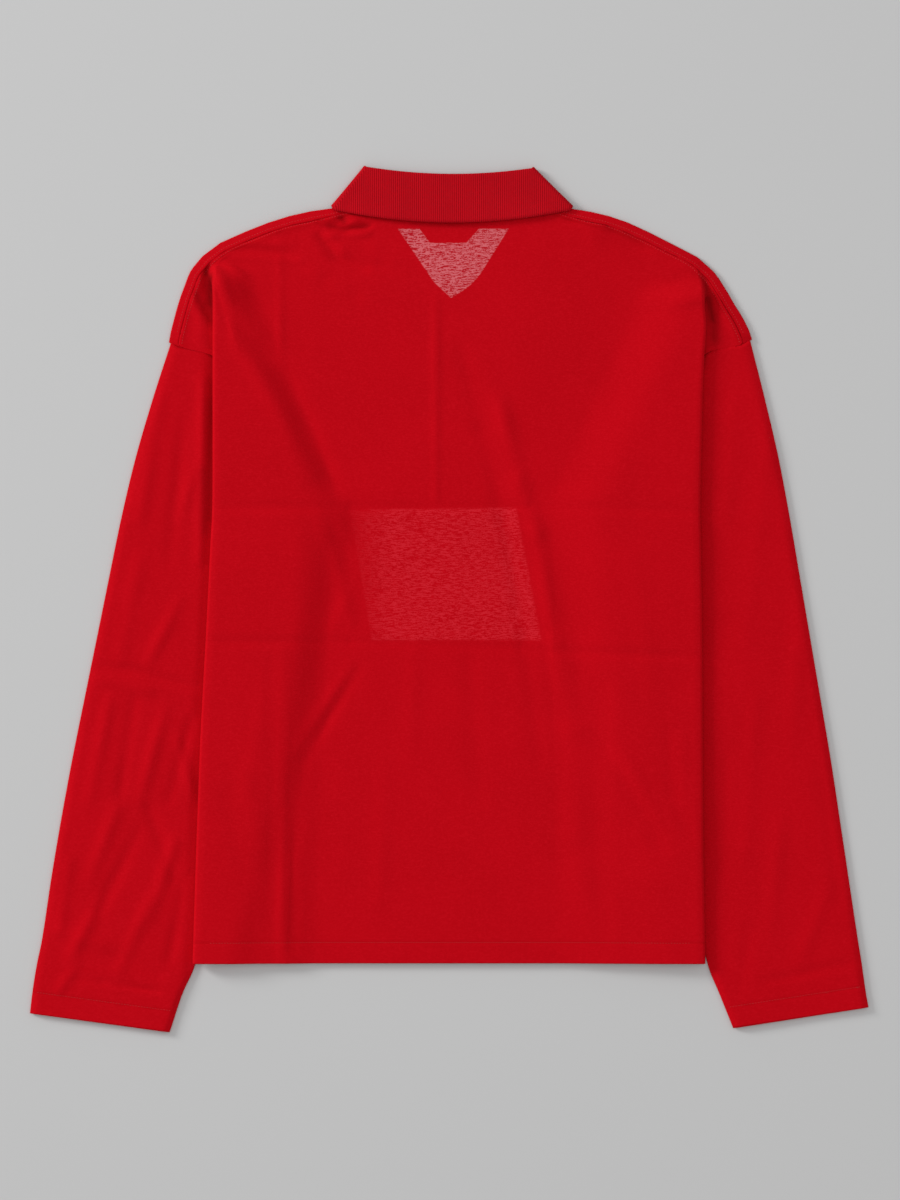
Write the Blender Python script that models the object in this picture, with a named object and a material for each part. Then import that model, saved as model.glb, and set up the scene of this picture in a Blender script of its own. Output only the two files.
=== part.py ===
# Long-sleeved collared shirt, laid flat face down on a table.
# Millimetres in the tables, metres in the meshes. The table is z = 0, the collar points to +Y.
# The body is two walls of cloth that share one middle surface: the back panel lies above it
# and the front panel below. That surface folds under at both sides, and between the shoulder
# and the underarm it folds out again, so that the cap of the shoulder shows beside the fold.

import math
from collections import namedtuple

import bmesh
import bpy
import numpy as np

MM = 0.001

# Cloth walls: their thickness, the gap between pieces, and the layers of the body.
CLOTH = 1.2
GAP = 0.3
PITCH = CLOTH + GAP
PAIR_MID = CLOTH + GAP / 2
PAIR_STEP = 2 * PITCH + GAP
TURN_RADIUS = PAIR_STEP / 2
TURN_LENGTH = math.pi * TURN_RADIUS
RIB_THICK = 1.0
ROLL_STEP = 1.7
LABEL_THICK = 1.0

# Ramps over hidden layers, and how far seams lie inside the outline.
RAMP = 24.0
LEAF_RAMP = 90.0
LIFT_OVER_LEAF = 1.6
SLEEVE_MARGIN = 26.0
SHOULDER_INSET = 9.5
NECK_INSET = 4.5
ARMHOLE_INSET = 1.6
WRAP_GAP = 2 * GAP

# The pleat that folds the body under between the shoulder and the underarm.
PLEAT_SPREAD = 0.40
PLEAT_GROWTH = 25.0
SHORTEST_RETURN = 1.0
LEAST_CAP = 2.0
LEAST_ANGLE = 0.1
UNDERARM_Y = 108.0

# The turned hem.
HEM_Y = -334.0
HEM_RISE = 0.4
HEM_DEPTH = 20.0

# Columns of the body's grid on each side of the centre line.
TURN_STEPS = 4
EVEN_STEPS = 4
RAMP_STEPS = 2
RETURN_STEPS = 3
MAIN_STEPS = EVEN_STEPS + RAMP_STEPS + RETURN_STEPS
MIDDLE_COLUMNS = 2 * TURN_STEPS + RETURN_STEPS
SIDE_COLUMNS = MAIN_STEPS + MIDDLE_COLUMNS + 3
RETURN_SHARES = [(i + 1) / RETURN_STEPS for i in range(RETURN_STEPS)]

LEFT = -1
RIGHT = 1

# One row of the body runs from the centre line out to the shoulder, the cap or the armhole.
Row = namedtuple("Row", "back_mid front_mid left_out left_y right_out right_y")
NECK_ROWS = [
    Row(353.7, 273.2, 89.5, 361.0, 94.5, 361.0),
    Row(333.9, 264.9, 120.8, 357.5, 124.9, 356.9),
    Row(310.0, 256.6, 153.0, 350.5, 152.5, 350.5),
    Row(286.1, 249.3, 183.3, 339.4, 179.1, 339.4),
    Row(262.1, 243.7, 209.1, 328.4, 204.9, 326.5),
    Row(238.2, 238.2, 226.6, 315.5, 227.9, 314.6),
]
CAP_ROWS = [
    Row(227.2, 227.2, 232.1, 309.1, 235.3, 308.1),
    Row(219.8, 219.8, 237.6, 302.2, 242.6, 301.7),
    Row(213.4, 213.4, 240.8, 295.3, 247.7, 295.3),
    Row(206.9, 206.9, 243.1, 288.8, 251.8, 288.8),
    Row(199.6, 199.6, 245.9, 281.5, 256.4, 281.5),
    Row(191.3, 191.3, 248.7, 273.2, 261.0, 273.2),
    Row(178.4, 178.4, 253.3, 256.6, 271.1, 256.6),
    Row(168.3, 168.3, 257.9, 236.4, 278.5, 239.1),
]
ARMHOLE_ROWS = [
    Row(149.0, 149.0, 217.4, 222.6, 238.0, 226.3),
    Row(134.3, 134.3, 196.2, 187.6, 213.2, 189.5),
    Row(120.5, 120.5, 172.3, 146.2, 190.2, 148.1),
    Row(104.8, 104.8, 152.1, 115.9, 170.9, 116.8),
]
LOWER_ROWS = [86.4, 49.6, 8.2, -37.8, -83.8, -134.4, -185.0, -231.0, -277.0, -314.2, -316.1, -334.9]

# The edge of the body where it folds under, as distance from the centre line.
Edge = namedtuple("Edge", "y out")
FOLD = {
    LEFT: [
        Edge(310.0, 217.4),
        Edge(91.0, 217.4),
        Edge(-22.1, 222.9),
        Edge(-120.6, 228.4),
        Edge(-219.0, 232.1),
        Edge(-334.9, 235.8),
    ],
    RIGHT: [
        Edge(300.8, 231.6),
        Edge(275.0, 234.3),
        Edge(252.0, 236.2),
        Edge(206.0, 233.4),
        Edge(91.0, 230.7),
        Edge(-22.1, 232.5),
        Edge(-219.0, 233.4),
        Edge(-334.9, 235.3),
    ],
}
PLEAT_TOP = {LEFT: 305.4, RIGHT: 292.5}
SIDE_SEAM = {
    LEFT: [
        Edge(107.6, 136.4),
        Edge(-22.1, 143.8),
        Edge(-219.0, 152.1),
        Edge(-334.9, 155.7),
    ],
    RIGHT: [
        Edge(107.6, 153.4),
        Edge(-22.1, 153.4),
        Edge(-219.0, 154.3),
        Edge(-334.9, 156.1),
    ],
}

# One row of a sleeve, from its outer fold to its inner fold under the body.
Across = namedtuple("Across", "outer_out outer_y inner_out inner_y")
SLEEVE = {
    LEFT: [
        Across(257.9, 235.3, 137.3, 103.0),
        Across(274.4, 183.0, 144.7, 70.8),
        Across(290.1, 127.8, 153.0, 35.8),
        Across(302.9, 72.6, 161.3, -1.0),
        Across(314.0, 17.4, 170.5, -42.4),
        Across(325.0, -37.8, 178.7, -83.8),
        Across(336.1, -93.0, 187.9, -125.2),
        Across(347.1, -148.2, 196.2, -166.6),
        Across(357.2, -203.4, 205.4, -208.0),
        Across(366.4, -258.6, 214.6, -254.0),
        Across(374.7, -313.8, 224.7, -300.0),
        Across(379.8, -338.6, 233.9, -337.7),
        Across(383.4, -361.6, 245.0, -362.5),
        Across(385.7, -380.9, 256.9, -398.4),
    ],
    RIGHT: [
        Across(278.5, 236.9, 156.1, 103.0),
        Across(291.8, 183.0, 164.4, 70.8),
        Across(304.3, 127.8, 171.8, 35.8),
        Across(314.4, 72.6, 179.1, -1.0),
        Across(323.6, 17.4, 187.4, -42.4),
        Across(332.8, -37.8, 194.8, -83.8),
        Across(342.0, -93.0, 202.1, -125.2),
        Across(351.2, -148.2, 209.5, -166.6),
        Across(359.5, -203.4, 216.9, -208.0),
        Across(367.7, -258.6, 223.3, -254.0),
        Across(376.0, -313.8, 229.7, -300.0),
        Across(379.7, -336.8, 238.0, -337.7),
        Across(382.9, -359.8, 248.1, -362.5),
        Across(385.7, -375.4, 261.0, -394.7),
    ],
}
# Plan shift of the sleeve head from the straight line between its ends.
HEAD_FADE = 3
Bow = namedtuple("Bow", "share out y")
ARMHOLE_BOW = [
    Bow(0.0, 0.0, 0.0),
    Bow(0.228, -13.0, 15.6),
    Bow(0.439, -5.1, 7.6),
    Bow(0.691, 1.8, -0.4),
    Bow(0.893, 5.5, -5.8),
    Bow(1.0, 0.0, 0.0),
]

# A station of the collar: roll line, neck seam and free edge.
Station = namedtuple("Station", "roll_out roll_y neck_out neck_y edge_out edge_y")
COLLAR_SIDE = {
    LEFT: Station(76.3, 395.9, 88.6, 362.6, 104.7, 362.0),
    RIGHT: Station(76.1, 394.6, 93.6, 362.6, 110.1, 361.0),
}
COLLAR_LEAF = [
    Station(54.7, 354.6, 69.1, 339.2, 86.7, 320.3),
    Station(42.1, 332.2, 51.2, 322.4, 71.3, 300.9),
    Station(27.9, 311.4, 33.3, 305.7, 56.5, 280.8),
    Station(13.8, 294.1, 17.1, 290.6, 42.9, 263.1),
    Station(2.5, 281.0, 4.6, 278.9, 32.2, 249.3),
]
COLLAR_BACK_STEPS = 8
COLLAR_TOP_DIP = 6.0
COLLAR_EDGE_DIP = 15.4
NECK_DIP = 7.4
FALL_STEPS = 3
STAND_STEPS = 2

# Long soft folds of the back panel: a ridge from one end to the other.
Ridge = namedtuple("Ridge", "x1 y1 x2 y2 half_width height")
RIDGES = [
    Ridge(-213.7, 277.8, -174.1, 229.0, 23.9, 2.0),
    Ridge(-174.1, 229.0, -135.5, 169.2, 23.9, 2.2),
    Ridge(-135.5, 169.2, -105.1, 118.6, 23.9, 1.6),
    Ridge(51.3, 173.8, 80.7, 60.7, 27.6, 1.8),
    Ridge(80.7, 60.7, 97.3, -37.8, 27.6, 2.2),
    Ridge(97.3, -37.8, 114.7, -129.8, 27.6, 2.2),
    Ridge(114.7, -129.8, 120.3, -267.8, 27.6, 1.8),
    Ridge(-137.3, -166.6, -150.2, -323.0, 25.8, 1.4),
    Ridge(-83.1, -64.5, -134.6, -148.2, 23.9, 1.6),
    Ridge(143.3, -133.5, 189.3, -231.0, 25.8, 1.6),
]
SLEEVE_RIDGES = [
    Ridge(-275.3, 155.4, -302.9, 35.8, 27.6, 1.8),
    Ridge(-252.3, -1.0, -312.1, -83.8, 25.8, 2.0),
    Ridge(-321.3, -93.0, -261.5, -148.2, 25.8, 1.8),
    Ridge(-266.1, -185.0, -339.7, -240.2, 27.6, 1.8),
    Ridge(295.1, 155.4, 272.1, -37.8, 27.6, 1.6),
    Ridge(341.1, -148.2, 295.1, -277.0, 27.6, 1.8),
]

# Plan outlines: the front leaves of the collar with the neck between them, the label and the tape.
Corner = namedtuple("Corner", "x y")
LEAF_AREA = [
    Corner(-111.6, 403.8),
    Corner(114.7, 403.8),
    Corner(114.7, 344.9),
    Corner(101.9, 310.0),
    Corner(74.3, 270.4),
    Corner(37.5, 240.1),
    Corner(0.2, 247.4),
    Corner(-36.1, 240.1),
    Corner(-72.9, 270.4),
    Corner(-100.5, 310.0),
    Corner(-111.6, 344.9),
]
LABEL = [
    Corner(-26.5, 337.6),
    Corner(-17.7, 327.0),
    Corner(15.7, 327.0),
    Corner(27.3, 337.6),
]
TAPE = [
    Corner(-47.2, 351.4),
    Corner(-36.1, 339.0),
    Corner(36.5, 339.0),
    Corner(47.6, 351.4),
]

Look = namedtuple("Look", "colour roughness")
JERSEY = Look((0.485, 0.0030, 0.0075), 0.85)
RIB = Look((0.413, 0.0045, 0.0100), 0.88)
TAPE_LOOK = Look((0.450, 0.0040, 0.0090), 0.8)
LABEL_LOOK = Look((0.560, 0.0300, 0.0400), 0.7)


def smooth(t):
    """Ease from 0 to 1."""
    t = min(max(t, 0.0), 1.0)
    return t * t * (3 - 2 * t)


def table_value(rows, y):
    """Read the distance from the centre line at a height in a table of edges."""
    ys = [-r.y for r in rows]
    return float(np.interp(-y, ys, [r.out for r in rows]))


def segment_distance(x, y, x1, y1, x2, y2):
    """Distance to a straight piece, and how far along it the nearest point is."""
    dx = x2 - x1
    dy = y2 - y1
    t = min(max(((x - x1) * dx + (y - y1) * dy) / (dx * dx + dy * dy), 0.0), 1.0)
    return math.hypot(x - x1 - t * dx, y - y1 - t * dy), t


def inside(x, y, polygon):
    """True where a plan point is inside a polygon."""
    found = False
    for (x1, y1), (x2, y2) in zip(polygon, polygon[1:] + polygon[:1]):
        if (y1 > y) != (y2 > y) and x < (x2 - x1) * (y - y1) / (y2 - y1) + x1:
            found = not found
    return found


def leaf_share(x, y):
    """1 over the front leaves of the collar, falling to 0 around them."""
    if inside(x, y, LEAF_AREA):
        return 1.0
    ends = zip(LEAF_AREA, LEAF_AREA[1:] + LEAF_AREA[:1])
    d = min(segment_distance(x, y, *a, *b)[0] for a, b in ends)
    return 1.0 - smooth(d / LEAF_RAMP)


def ridge_height(x, y, ridges):
    """Height of the long folds at a plan point."""
    height = 0.0
    for r in ridges:
        d, t = segment_distance(x, y, r.x1, r.y1, r.x2, r.y2)
        height = max(height, r.height * (1 - smooth(d / r.half_width)) * (1 - 0.5 * abs(2 * t - 1) ** 3))
    return height


def turn_angle(side, y):
    """How far the cloth has turned under at the fold: a half turn below the pucker."""
    return math.pi * min(max((PLEAT_TOP[side] - y) / PLEAT_GROWTH, 0.0), 1.0)


def return_edge(side, y):
    """Inner edge of the layer that is tucked under."""
    below = max(y, UNDERARM_Y)
    edge = table_value(FOLD[side], below) - PLEAT_SPREAD * max(PLEAT_TOP[side] - below, 0.0)
    if y < UNDERARM_Y:
        edge = table_value(SIDE_SEAM[side], y)
    return edge


def return_length(side, y):
    """Straight part of the tucked layer."""
    wide = table_value(FOLD[side], y) - return_edge(side, y)
    return max(SHORTEST_RETURN, wide - 2 * (TURN_RADIUS + PAIR_MID))


def pleat_drop(angle, straight):
    """How far the cloth comes down through both turns of the pleat."""
    if angle == 0.0:
        return 0.0
    return 2 * TURN_LENGTH / angle * (1 - math.cos(angle)) + straight * math.sin(angle)


def sleeve_share(side, out, y):
    """1 over the sleeve under the body, falling to 0 inside its inner fold."""
    rows = SLEEVE[side]
    inner = float(np.interp(-y, [-r.inner_y for r in rows], [r.inner_out for r in rows]))
    return 1.0 - smooth((inner - out - SLEEVE_MARGIN) / RAMP)


def tucked_share(side, out, y):
    """1 over the tucked layer of the body, falling to 0 inside its edge."""
    return 1.0 - smooth((return_edge(side, y) - out) / RAMP)


def body_height(side, out, y):
    """Height of the middle surface of the body's upper pair."""
    leaf = LIFT_OVER_LEAF * leaf_share(side * out, y)
    if y >= UNDERARM_Y:
        angle = turn_angle(side, y)
        drop = pleat_drop(angle, return_length(side, y))
        return PAIR_MID + leaf + drop * tucked_share(side, out, y)
    return PAIR_MID + PAIR_STEP * (tucked_share(side, out, y) + sleeve_share(side, out, y))


def turn_points(angle):
    """Advance and drop along one turn."""
    radius = TURN_LENGTH / angle
    angles = [angle * i / TURN_STEPS for i in range(1, TURN_STEPS + 1)]
    return [(radius * math.sin(a), radius * (1 - math.cos(a))) for a in angles]


def pleat_columns(angle, straight):
    """Advance and drop of the columns through the pleat: turn, straight, turn back."""
    first = turn_points(angle)
    q, drop = first[-1]
    run_q = straight * math.cos(angle)
    run_drop = straight * math.sin(angle)
    middle = [(q + run_q * share, drop + run_drop * share) for share in RETURN_SHARES]
    end_q, end_drop = middle[-1]
    backwards = first[-2::-1] + [(0.0, 0.0)]
    last = [(end_q + q - back_q, end_drop + drop - back_drop) for back_q, back_drop in backwards]
    return first + middle + last


def main_stops(start, straight):
    """Distances of the main columns from the centre line, out to the start of the fold."""
    inner = start - straight
    even = inner - RAMP
    stops = [even * (i + 1) / EVEN_STEPS for i in range(EVEN_STEPS)]
    stops += [even + RAMP * (i + 1) / RAMP_STEPS for i in range(RAMP_STEPS)]
    return stops + [inner + straight * s for s in RETURN_SHARES]


def outline_points(side):
    """Ends of the rows on the shoulder line and the cap, in order from the neck."""
    rows = NECK_ROWS + CAP_ROWS
    if side == LEFT:
        return [(r.left_out, r.left_y) for r in rows]
    return [(r.right_out, r.right_y) for r in rows]


def outline_inward(side, index):
    """Direction from the outline into the cloth, square to the outline."""
    points = outline_points(side)
    before = points[max(index - 1, 0)]
    after = points[min(index + 1, len(points) - 1)]
    run = (after[0] - before[0], after[1] - before[1])
    size = math.hypot(*run)
    return (run[1] / size, -run[0] / size)


def row_ends(side, index):
    """Points on the shoulder seam and on the wall's middle at the outline."""
    out, y = outline_points(side)[index]
    nx, ny = outline_inward(side, index)
    inset = NECK_INSET if index == 0 else SHOULDER_INSET
    return (out + nx * inset, y + ny * inset), (out + nx * PAIR_MID, y + ny * PAIR_MID)


def neck_row(side, index, mid):
    """Points of a row that ends on the shoulder line."""
    seam, edge = row_ends(side, index)
    first_fold = row_ends(side, len(NECK_ROWS))[0]
    start = table_value(FOLD[side], first_fold[1]) - PAIR_MID - TURN_RADIUS
    beyond = [(i + 1) / (MIDDLE_COLUMNS + 2) for i in range(MIDDLE_COLUMNS + 2)]
    stops = main_stops(start, SHORTEST_RETURN) + [start + (first_fold[0] - start) * share for share in beyond]
    points = []
    for stop in stops:
        share = stop / first_fold[0]
        at = seam[0] * share
        ease = share if index == 0 else smooth(share)
        y = mid + (seam[1] - mid) * ease
        points.append((side * at, y, body_height(side, at, y)))
    points.append((side * edge[0], edge[1], body_height(side, *edge)))
    return points


def fold_row(side, row, index):
    """Points of a row that crosses the pleat and ends on the cap or at the armhole."""
    armhole = index >= len(NECK_ROWS) + len(CAP_ROWS)
    out, end_y = (row.left_out, row.left_y) if side == LEFT else (row.right_out, row.right_y)
    seam = (out - ARMHOLE_INSET, end_y)
    edge = (out - GAP, end_y)
    if not armhole:
        seam, edge = row_ends(side, index)
    fold = table_value(FOLD[side], seam[1])
    reach = max(seam[0], fold)

    def row_y(at):
        return row.back_mid + (seam[1] - row.back_mid) * smooth(at / reach)

    angle = turn_angle(side, row_y(fold))
    straight = return_length(side, row_y(fold))
    start = fold - PAIR_MID - TURN_RADIUS
    top = PAIR_MID + pleat_drop(angle, straight)
    stops = main_stops(start, straight)
    points = []
    for j, at in enumerate(stops):
        z = top if j >= EVEN_STEPS + RAMP_STEPS - 1 else body_height(side, at, row_y(at))
        points.append((side * at, row_y(at), z))
    if angle < LEAST_ANGLE:
        for i in range(1, MIDDLE_COLUMNS + 2):
            at = start + (seam[0] - start) * i / (MIDDLE_COLUMNS + 2)
            points.append((side * at, row_y(at), PAIR_MID))
    else:
        columns = pleat_columns(angle, straight)
        end_q = columns[-1][0]
        room = seam[0] - start - LEAST_CAP
        squeeze = min(1.0, room / end_q) if end_q > 0 else 1.0
        for q, drop in columns:
            at = start + q * squeeze
            points.append((side * at, row_y(at), top - drop))
        at = (start + end_q * squeeze + seam[0]) / 2
        points.append((side * at, row_y(at), PAIR_MID))
    points.append((side * seam[0], seam[1], PAIR_MID))
    points.append((side * edge[0], edge[1], PAIR_MID))
    return points


def strip_row(side, y):
    """Points of a row below the armhole, whose end is tucked under."""
    start = table_value(FOLD[side], y) - PAIR_MID - TURN_RADIUS
    straight = return_length(side, y)
    points = []
    for at in main_stops(start, straight):
        points.append((side * at, y, body_height(side, at, y)))
    top = points[-1][2]
    for q, drop in turn_points(math.pi):
        points.append((side * (start + q), y, top - drop))
    for s in RETURN_SHARES:
        at = start - straight * s
        points.append((side * at, y, PAIR_MID + PAIR_STEP * sleeve_share(side, at, y)))
    return points + [None] * (SIDE_COLUMNS - len(points))


def middle_surface(front):
    """Grid of the body's middle surface, left end to right end, top row to hem."""
    rows = []
    for index, row in enumerate(NECK_ROWS):
        mid = row.front_mid if front else row.back_mid
        rows.append((mid, {side: neck_row(side, index, mid) for side in (LEFT, RIGHT)}))
    for index, row in enumerate(CAP_ROWS + ARMHOLE_ROWS, len(NECK_ROWS)):
        rows.append((row.back_mid, {side: fold_row(side, row, index) for side in (LEFT, RIGHT)}))
    for y in LOWER_ROWS:
        rows.append((y, {side: strip_row(side, y) for side in (LEFT, RIGHT)}))
    grid = []
    for mid, sides in rows:
        centre = (0.0, mid, body_height(LEFT, 0.0, mid))
        grid.append(sides[LEFT][::-1] + [centre] + sides[RIGHT])
    return grid


def unit(v):
    """Vector of length one."""
    n = np.linalg.norm(v)
    return v / n if n > 1e-9 else v


def along(grid, r, c, dr, dc):
    """Mean direction through a grid point along its row or its column."""
    total = np.zeros(3)
    here = np.array(grid[r][c])
    for sign in (1, -1):
        rr = r + sign * dr
        cc = c + sign * dc
        if 0 <= rr < len(grid) and 0 <= cc < len(grid[0]) and grid[rr][cc] is not None:
            total += sign * unit(np.array(grid[rr][cc]) - here)
    return total


def surface_normals(grid):
    """Normals of a grid whose rows run to +X and follow each other towards -Y."""
    normals = []
    for r in range(len(grid)):
        line = []
        for c in range(len(grid[0])):
            if grid[r][c] is None:
                line.append(None)
                continue
            line.append(unit(np.cross(along(grid, r, c, 1, 0), along(grid, r, c, 0, 1))))
        normals.append(line)
    return normals


def build_wall(name, centre, normals, look, closed=False, thick=CLOTH):
    """One closed wall of cloth round a grid of centre points."""
    bm = bmesh.new()
    rows = len(centre)
    cols = len(centre[0])
    out = {}
    back = {}

    def vertex(store, r, c, sign):
        c = c % cols if closed else c
        if (r, c) not in store:
            p = np.array(centre[r][c]) + sign * thick / 2 * np.array(normals[r][c])
            store[(r, c)] = bm.verts.new(p * MM)
        return store[(r, c)]

    edges = {}
    for r in range(rows - 1):
        for c in range(cols if closed else cols - 1):
            corners = [(r, c), (r + 1, c), (r + 1, c + 1), (r, c + 1)]
            if any(centre[i][j % cols] is None for i, j in corners):
                continue
            bm.faces.new([vertex(out, i, j, 1) for i, j in corners])
            bm.faces.new([vertex(back, i, j, -1) for i, j in corners[::-1]])
            for a, b in zip(corners, corners[1:] + corners[:1]):
                key = tuple(sorted([(a[0], a[1] % cols), (b[0], b[1] % cols)]))
                edges[key] = None if key in edges else (a, b)
    for pair in edges.values():
        if pair:
            a, b = pair
            bm.faces.new(
                [vertex(out, *b, 1), vertex(out, *a, 1), vertex(back, *a, -1), vertex(back, *b, -1)]
            )
    return finish_mesh(name, bm, look)


def finish_mesh(name, bm, look):
    """Put a mesh in the scene with its material."""
    bmesh.ops.recalc_face_normals(bm, faces=bm.faces)
    bmesh.ops.triangulate(bm, faces=bm.faces)
    mesh = bpy.data.meshes.new(name)
    bm.to_mesh(mesh)
    bm.free()
    obj = bpy.data.objects.new(name, mesh)
    bpy.context.scene.collection.objects.link(obj)
    mat = bpy.data.materials.new(name + "_cloth")
    mat.use_nodes = True
    shader = mat.node_tree.nodes["Principled BSDF"]
    shader.inputs["Base Color"].default_value = (*look.colour, 1.0)
    shader.inputs["Roughness"].default_value = look.roughness
    shader.inputs["Metallic"].default_value = 0.0
    mesh.materials.append(mat)
    return obj


def hem_rise(y):
    """Extra height of the turned hem."""
    return HEM_RISE if y < HEM_Y + HEM_DEPTH else 0.0


def build_back():
    """Back panel: the upper wall, up to the shoulder seam inside the outline."""
    grid = middle_surface(False)
    normals = surface_normals(grid)
    centre = []
    for line, line_n in zip(grid, normals):
        new = []
        for c, (p, n) in enumerate(zip(line, line_n)):
            at_edge = c in (0, len(line) - 1)
            if p is None or at_edge:
                new.append(None)
                continue
            lift = 0.0
            if abs(c - SIDE_COLUMNS) < MAIN_STEPS:
                lift = ridge_height(p[0], p[1], RIDGES) + hem_rise(p[1])
            new.append(tuple(np.array(p) + (PITCH / 2 + lift) * n))
        centre.append(new)
    return build_wall("back_panel", centre, normals, JERSEY)


def wrap_columns(edge, seam, normal):
    """Columns that carry the front panel round the shoulder edge to the seam on the back."""
    edge = np.array(edge)
    seam = np.array(seam)
    outward = unit(edge - seam)
    points = []
    directions = []
    for i in range(1, TURN_STEPS + 1):
        a = math.pi * i / TURN_STEPS
        d = -normal * math.cos(a) + outward * math.sin(a)
        points.append(tuple(edge + d * PITCH / 2))
        directions.append(d)
    points.append(tuple(seam + outward * WRAP_GAP + normal * PITCH / 2))
    directions.append(normal)
    return points, directions


def build_front():
    """Front panel: the lower wall, carried round the shoulders to the seam on the back."""
    grid = middle_surface(True)
    normals = surface_normals(grid)
    wrapped = len(NECK_ROWS) + len(CAP_ROWS)
    centre = []
    facing = []
    for r, (line, line_n) in enumerate(zip(grid, normals)):
        points = [None if p is None else tuple(np.array(p) - PITCH / 2 * n) for p, n in zip(line, line_n)]
        dirs = [None if n is None else -n for n in line_n]
        if r < wrapped:
            left_p, left_d = wrap_columns(line[0], line[1], line_n[0])
            right_p, right_d = wrap_columns(line[-1], line[-2], line_n[-1])
        else:
            left_p = right_p = left_d = right_d = [None] * (TURN_STEPS + 1)
        centre.append(list(left_p)[::-1] + points + list(right_p))
        facing.append(list(left_d)[::-1] + dirs + list(right_d))
    return build_wall("front_panel", centre, facing, JERSEY)


def armhole_bow(share):
    """Plan shift of the sleeve head from the straight line between its ends."""
    shares = [b.share for b in ARMHOLE_BOW]
    out = float(np.interp(share, shares, [b.out for b in ARMHOLE_BOW]))
    y = float(np.interp(share, shares, [b.y for b in ARMHOLE_BOW]))
    return out, y


def build_sleeve(name, side):
    """Sleeve: one flattened tube, open at the armhole and at the cuff."""
    rows = SLEEVE[side]
    centre = []
    facing = []
    for r, row in enumerate(rows):
        fade = (1 - r / (len(rows) - 1)) ** HEAD_FADE
        points = []
        dirs = []

        def plan(share):
            du, dy = armhole_bow(share)
            out = row.outer_out + (row.inner_out - row.outer_out) * share + du * fade
            y = row.outer_y + (row.inner_y - row.outer_y) * share + dy * fade
            return out, y

        def add(share, z, d):
            out, y = plan(share)
            points.append((side * out, y, z))
            dirs.append(np.array(d))

        width = row.outer_out - row.inner_out
        inset = PAIR_MID / width
        s = [b.share for b in ARMHOLE_BOW]
        shares = [inset, s[1], (s[1] + s[2]) / 2, s[2], (s[2] + s[3]) / 2, s[3], s[4], 1 - inset]
        for share in shares:
            out, y = plan(share)
            lift = 0.0
            if inset < share < 1 - inset and r > 0:
                clear = out - table_value(FOLD[side], y) - RAMP
                lift = ridge_height(side * out, y, SLEEVE_RIDGES) * smooth(clear / RAMP + 1)
            add(share, PAIR_MID + PITCH / 2 + lift, (0, 0, 1))
        for i in range(1, TURN_STEPS):
            a = math.pi * i / TURN_STEPS
            out, y = plan(shares[-1])
            points.append((side * (out - PITCH / 2 * math.sin(a)), y, PAIR_MID + PITCH / 2 * math.cos(a)))
            dirs.append(np.array((-side * math.sin(a), 0, math.cos(a))))
        for share in shares[::-1]:
            add(share, PAIR_MID - PITCH / 2, (0, 0, -1))
        for i in range(1, TURN_STEPS):
            a = math.pi * i / TURN_STEPS
            out, y = plan(shares[0])
            points.append((side * (out + PITCH / 2 * math.sin(a)), y, PAIR_MID - PITCH / 2 * math.cos(a)))
            dirs.append(np.array((side * math.sin(a), 0, -math.cos(a))))
        centre.append(points)
        facing.append(dirs)
    return build_wall(name, centre, facing, JERSEY, closed=True)


def collar_line(station, side, z_fall, z_stand, roll_way):
    """One line of the collar from its free edge over the roll to the neck seam."""
    fall_end = np.array((side * station.edge_out, station.edge_y))
    roll = np.array((side * station.roll_out, station.roll_y))
    neck = np.array((side * station.neck_out, station.neck_y))
    line = []
    for i in range(FALL_STEPS + 1):
        p = fall_end + (roll - fall_end) * i / FALL_STEPS
        line.append((p[0], p[1], z_fall))
    mid = (z_fall + z_stand) / 2
    for i in range(1, TURN_STEPS):
        a = math.pi * i / TURN_STEPS
        p = roll + roll_way * ROLL_STEP / 2 * math.sin(a)
        line.append((p[0], p[1], mid + (z_fall - mid) * math.cos(a)))
    for i in range(STAND_STEPS + 1):
        p = roll + (neck - roll) * i / STAND_STEPS
        line.append((p[0], p[1], z_stand))
    return line


def collar_wrap(side, top, bottom, mid_z):
    """Lines that carry the collar round the side of the neck from the back to the front."""
    lines = []
    a_edge = np.array(top[0][:2])
    a_roll = np.array(top[FALL_STEPS][:2])
    run = unit(a_edge - a_roll)
    outward = np.array((-run[1], run[0]))
    if outward[0] * side < 0:
        outward = -outward
    for i in range(1, TURN_STEPS):
        a = math.pi * i / TURN_STEPS
        line = []
        for t, b in zip(top, bottom):
            share = a / math.pi
            base = np.array(t[:2]) * (1 - share) + np.array(b[:2]) * share
            radius = abs(t[2] - mid_z)
            p = base + outward * radius * math.sin(a)
            line.append((p[0], p[1], mid_z + radius * math.cos(a)))
        lines.append(line)
    return lines


def leaf_lines(side, leaf_z, front_z):
    """Lines of one front leaf, each with its roll facing the neck opening."""
    stations = [COLLAR_SIDE[side]] + COLLAR_LEAF
    runs = list(zip(stations, stations[1:]))
    lines = []
    for station, (a, b) in zip(stations, runs + runs[-1:]):
        run = unit(np.array((side * (b.roll_out - a.roll_out), b.roll_y - a.roll_y)))
        way = np.array((-run[1], run[0]))
        if way[0] * side > 0:
            way = -way
        lines.append(collar_line(station, side, leaf_z, front_z, way))
    return lines


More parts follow.
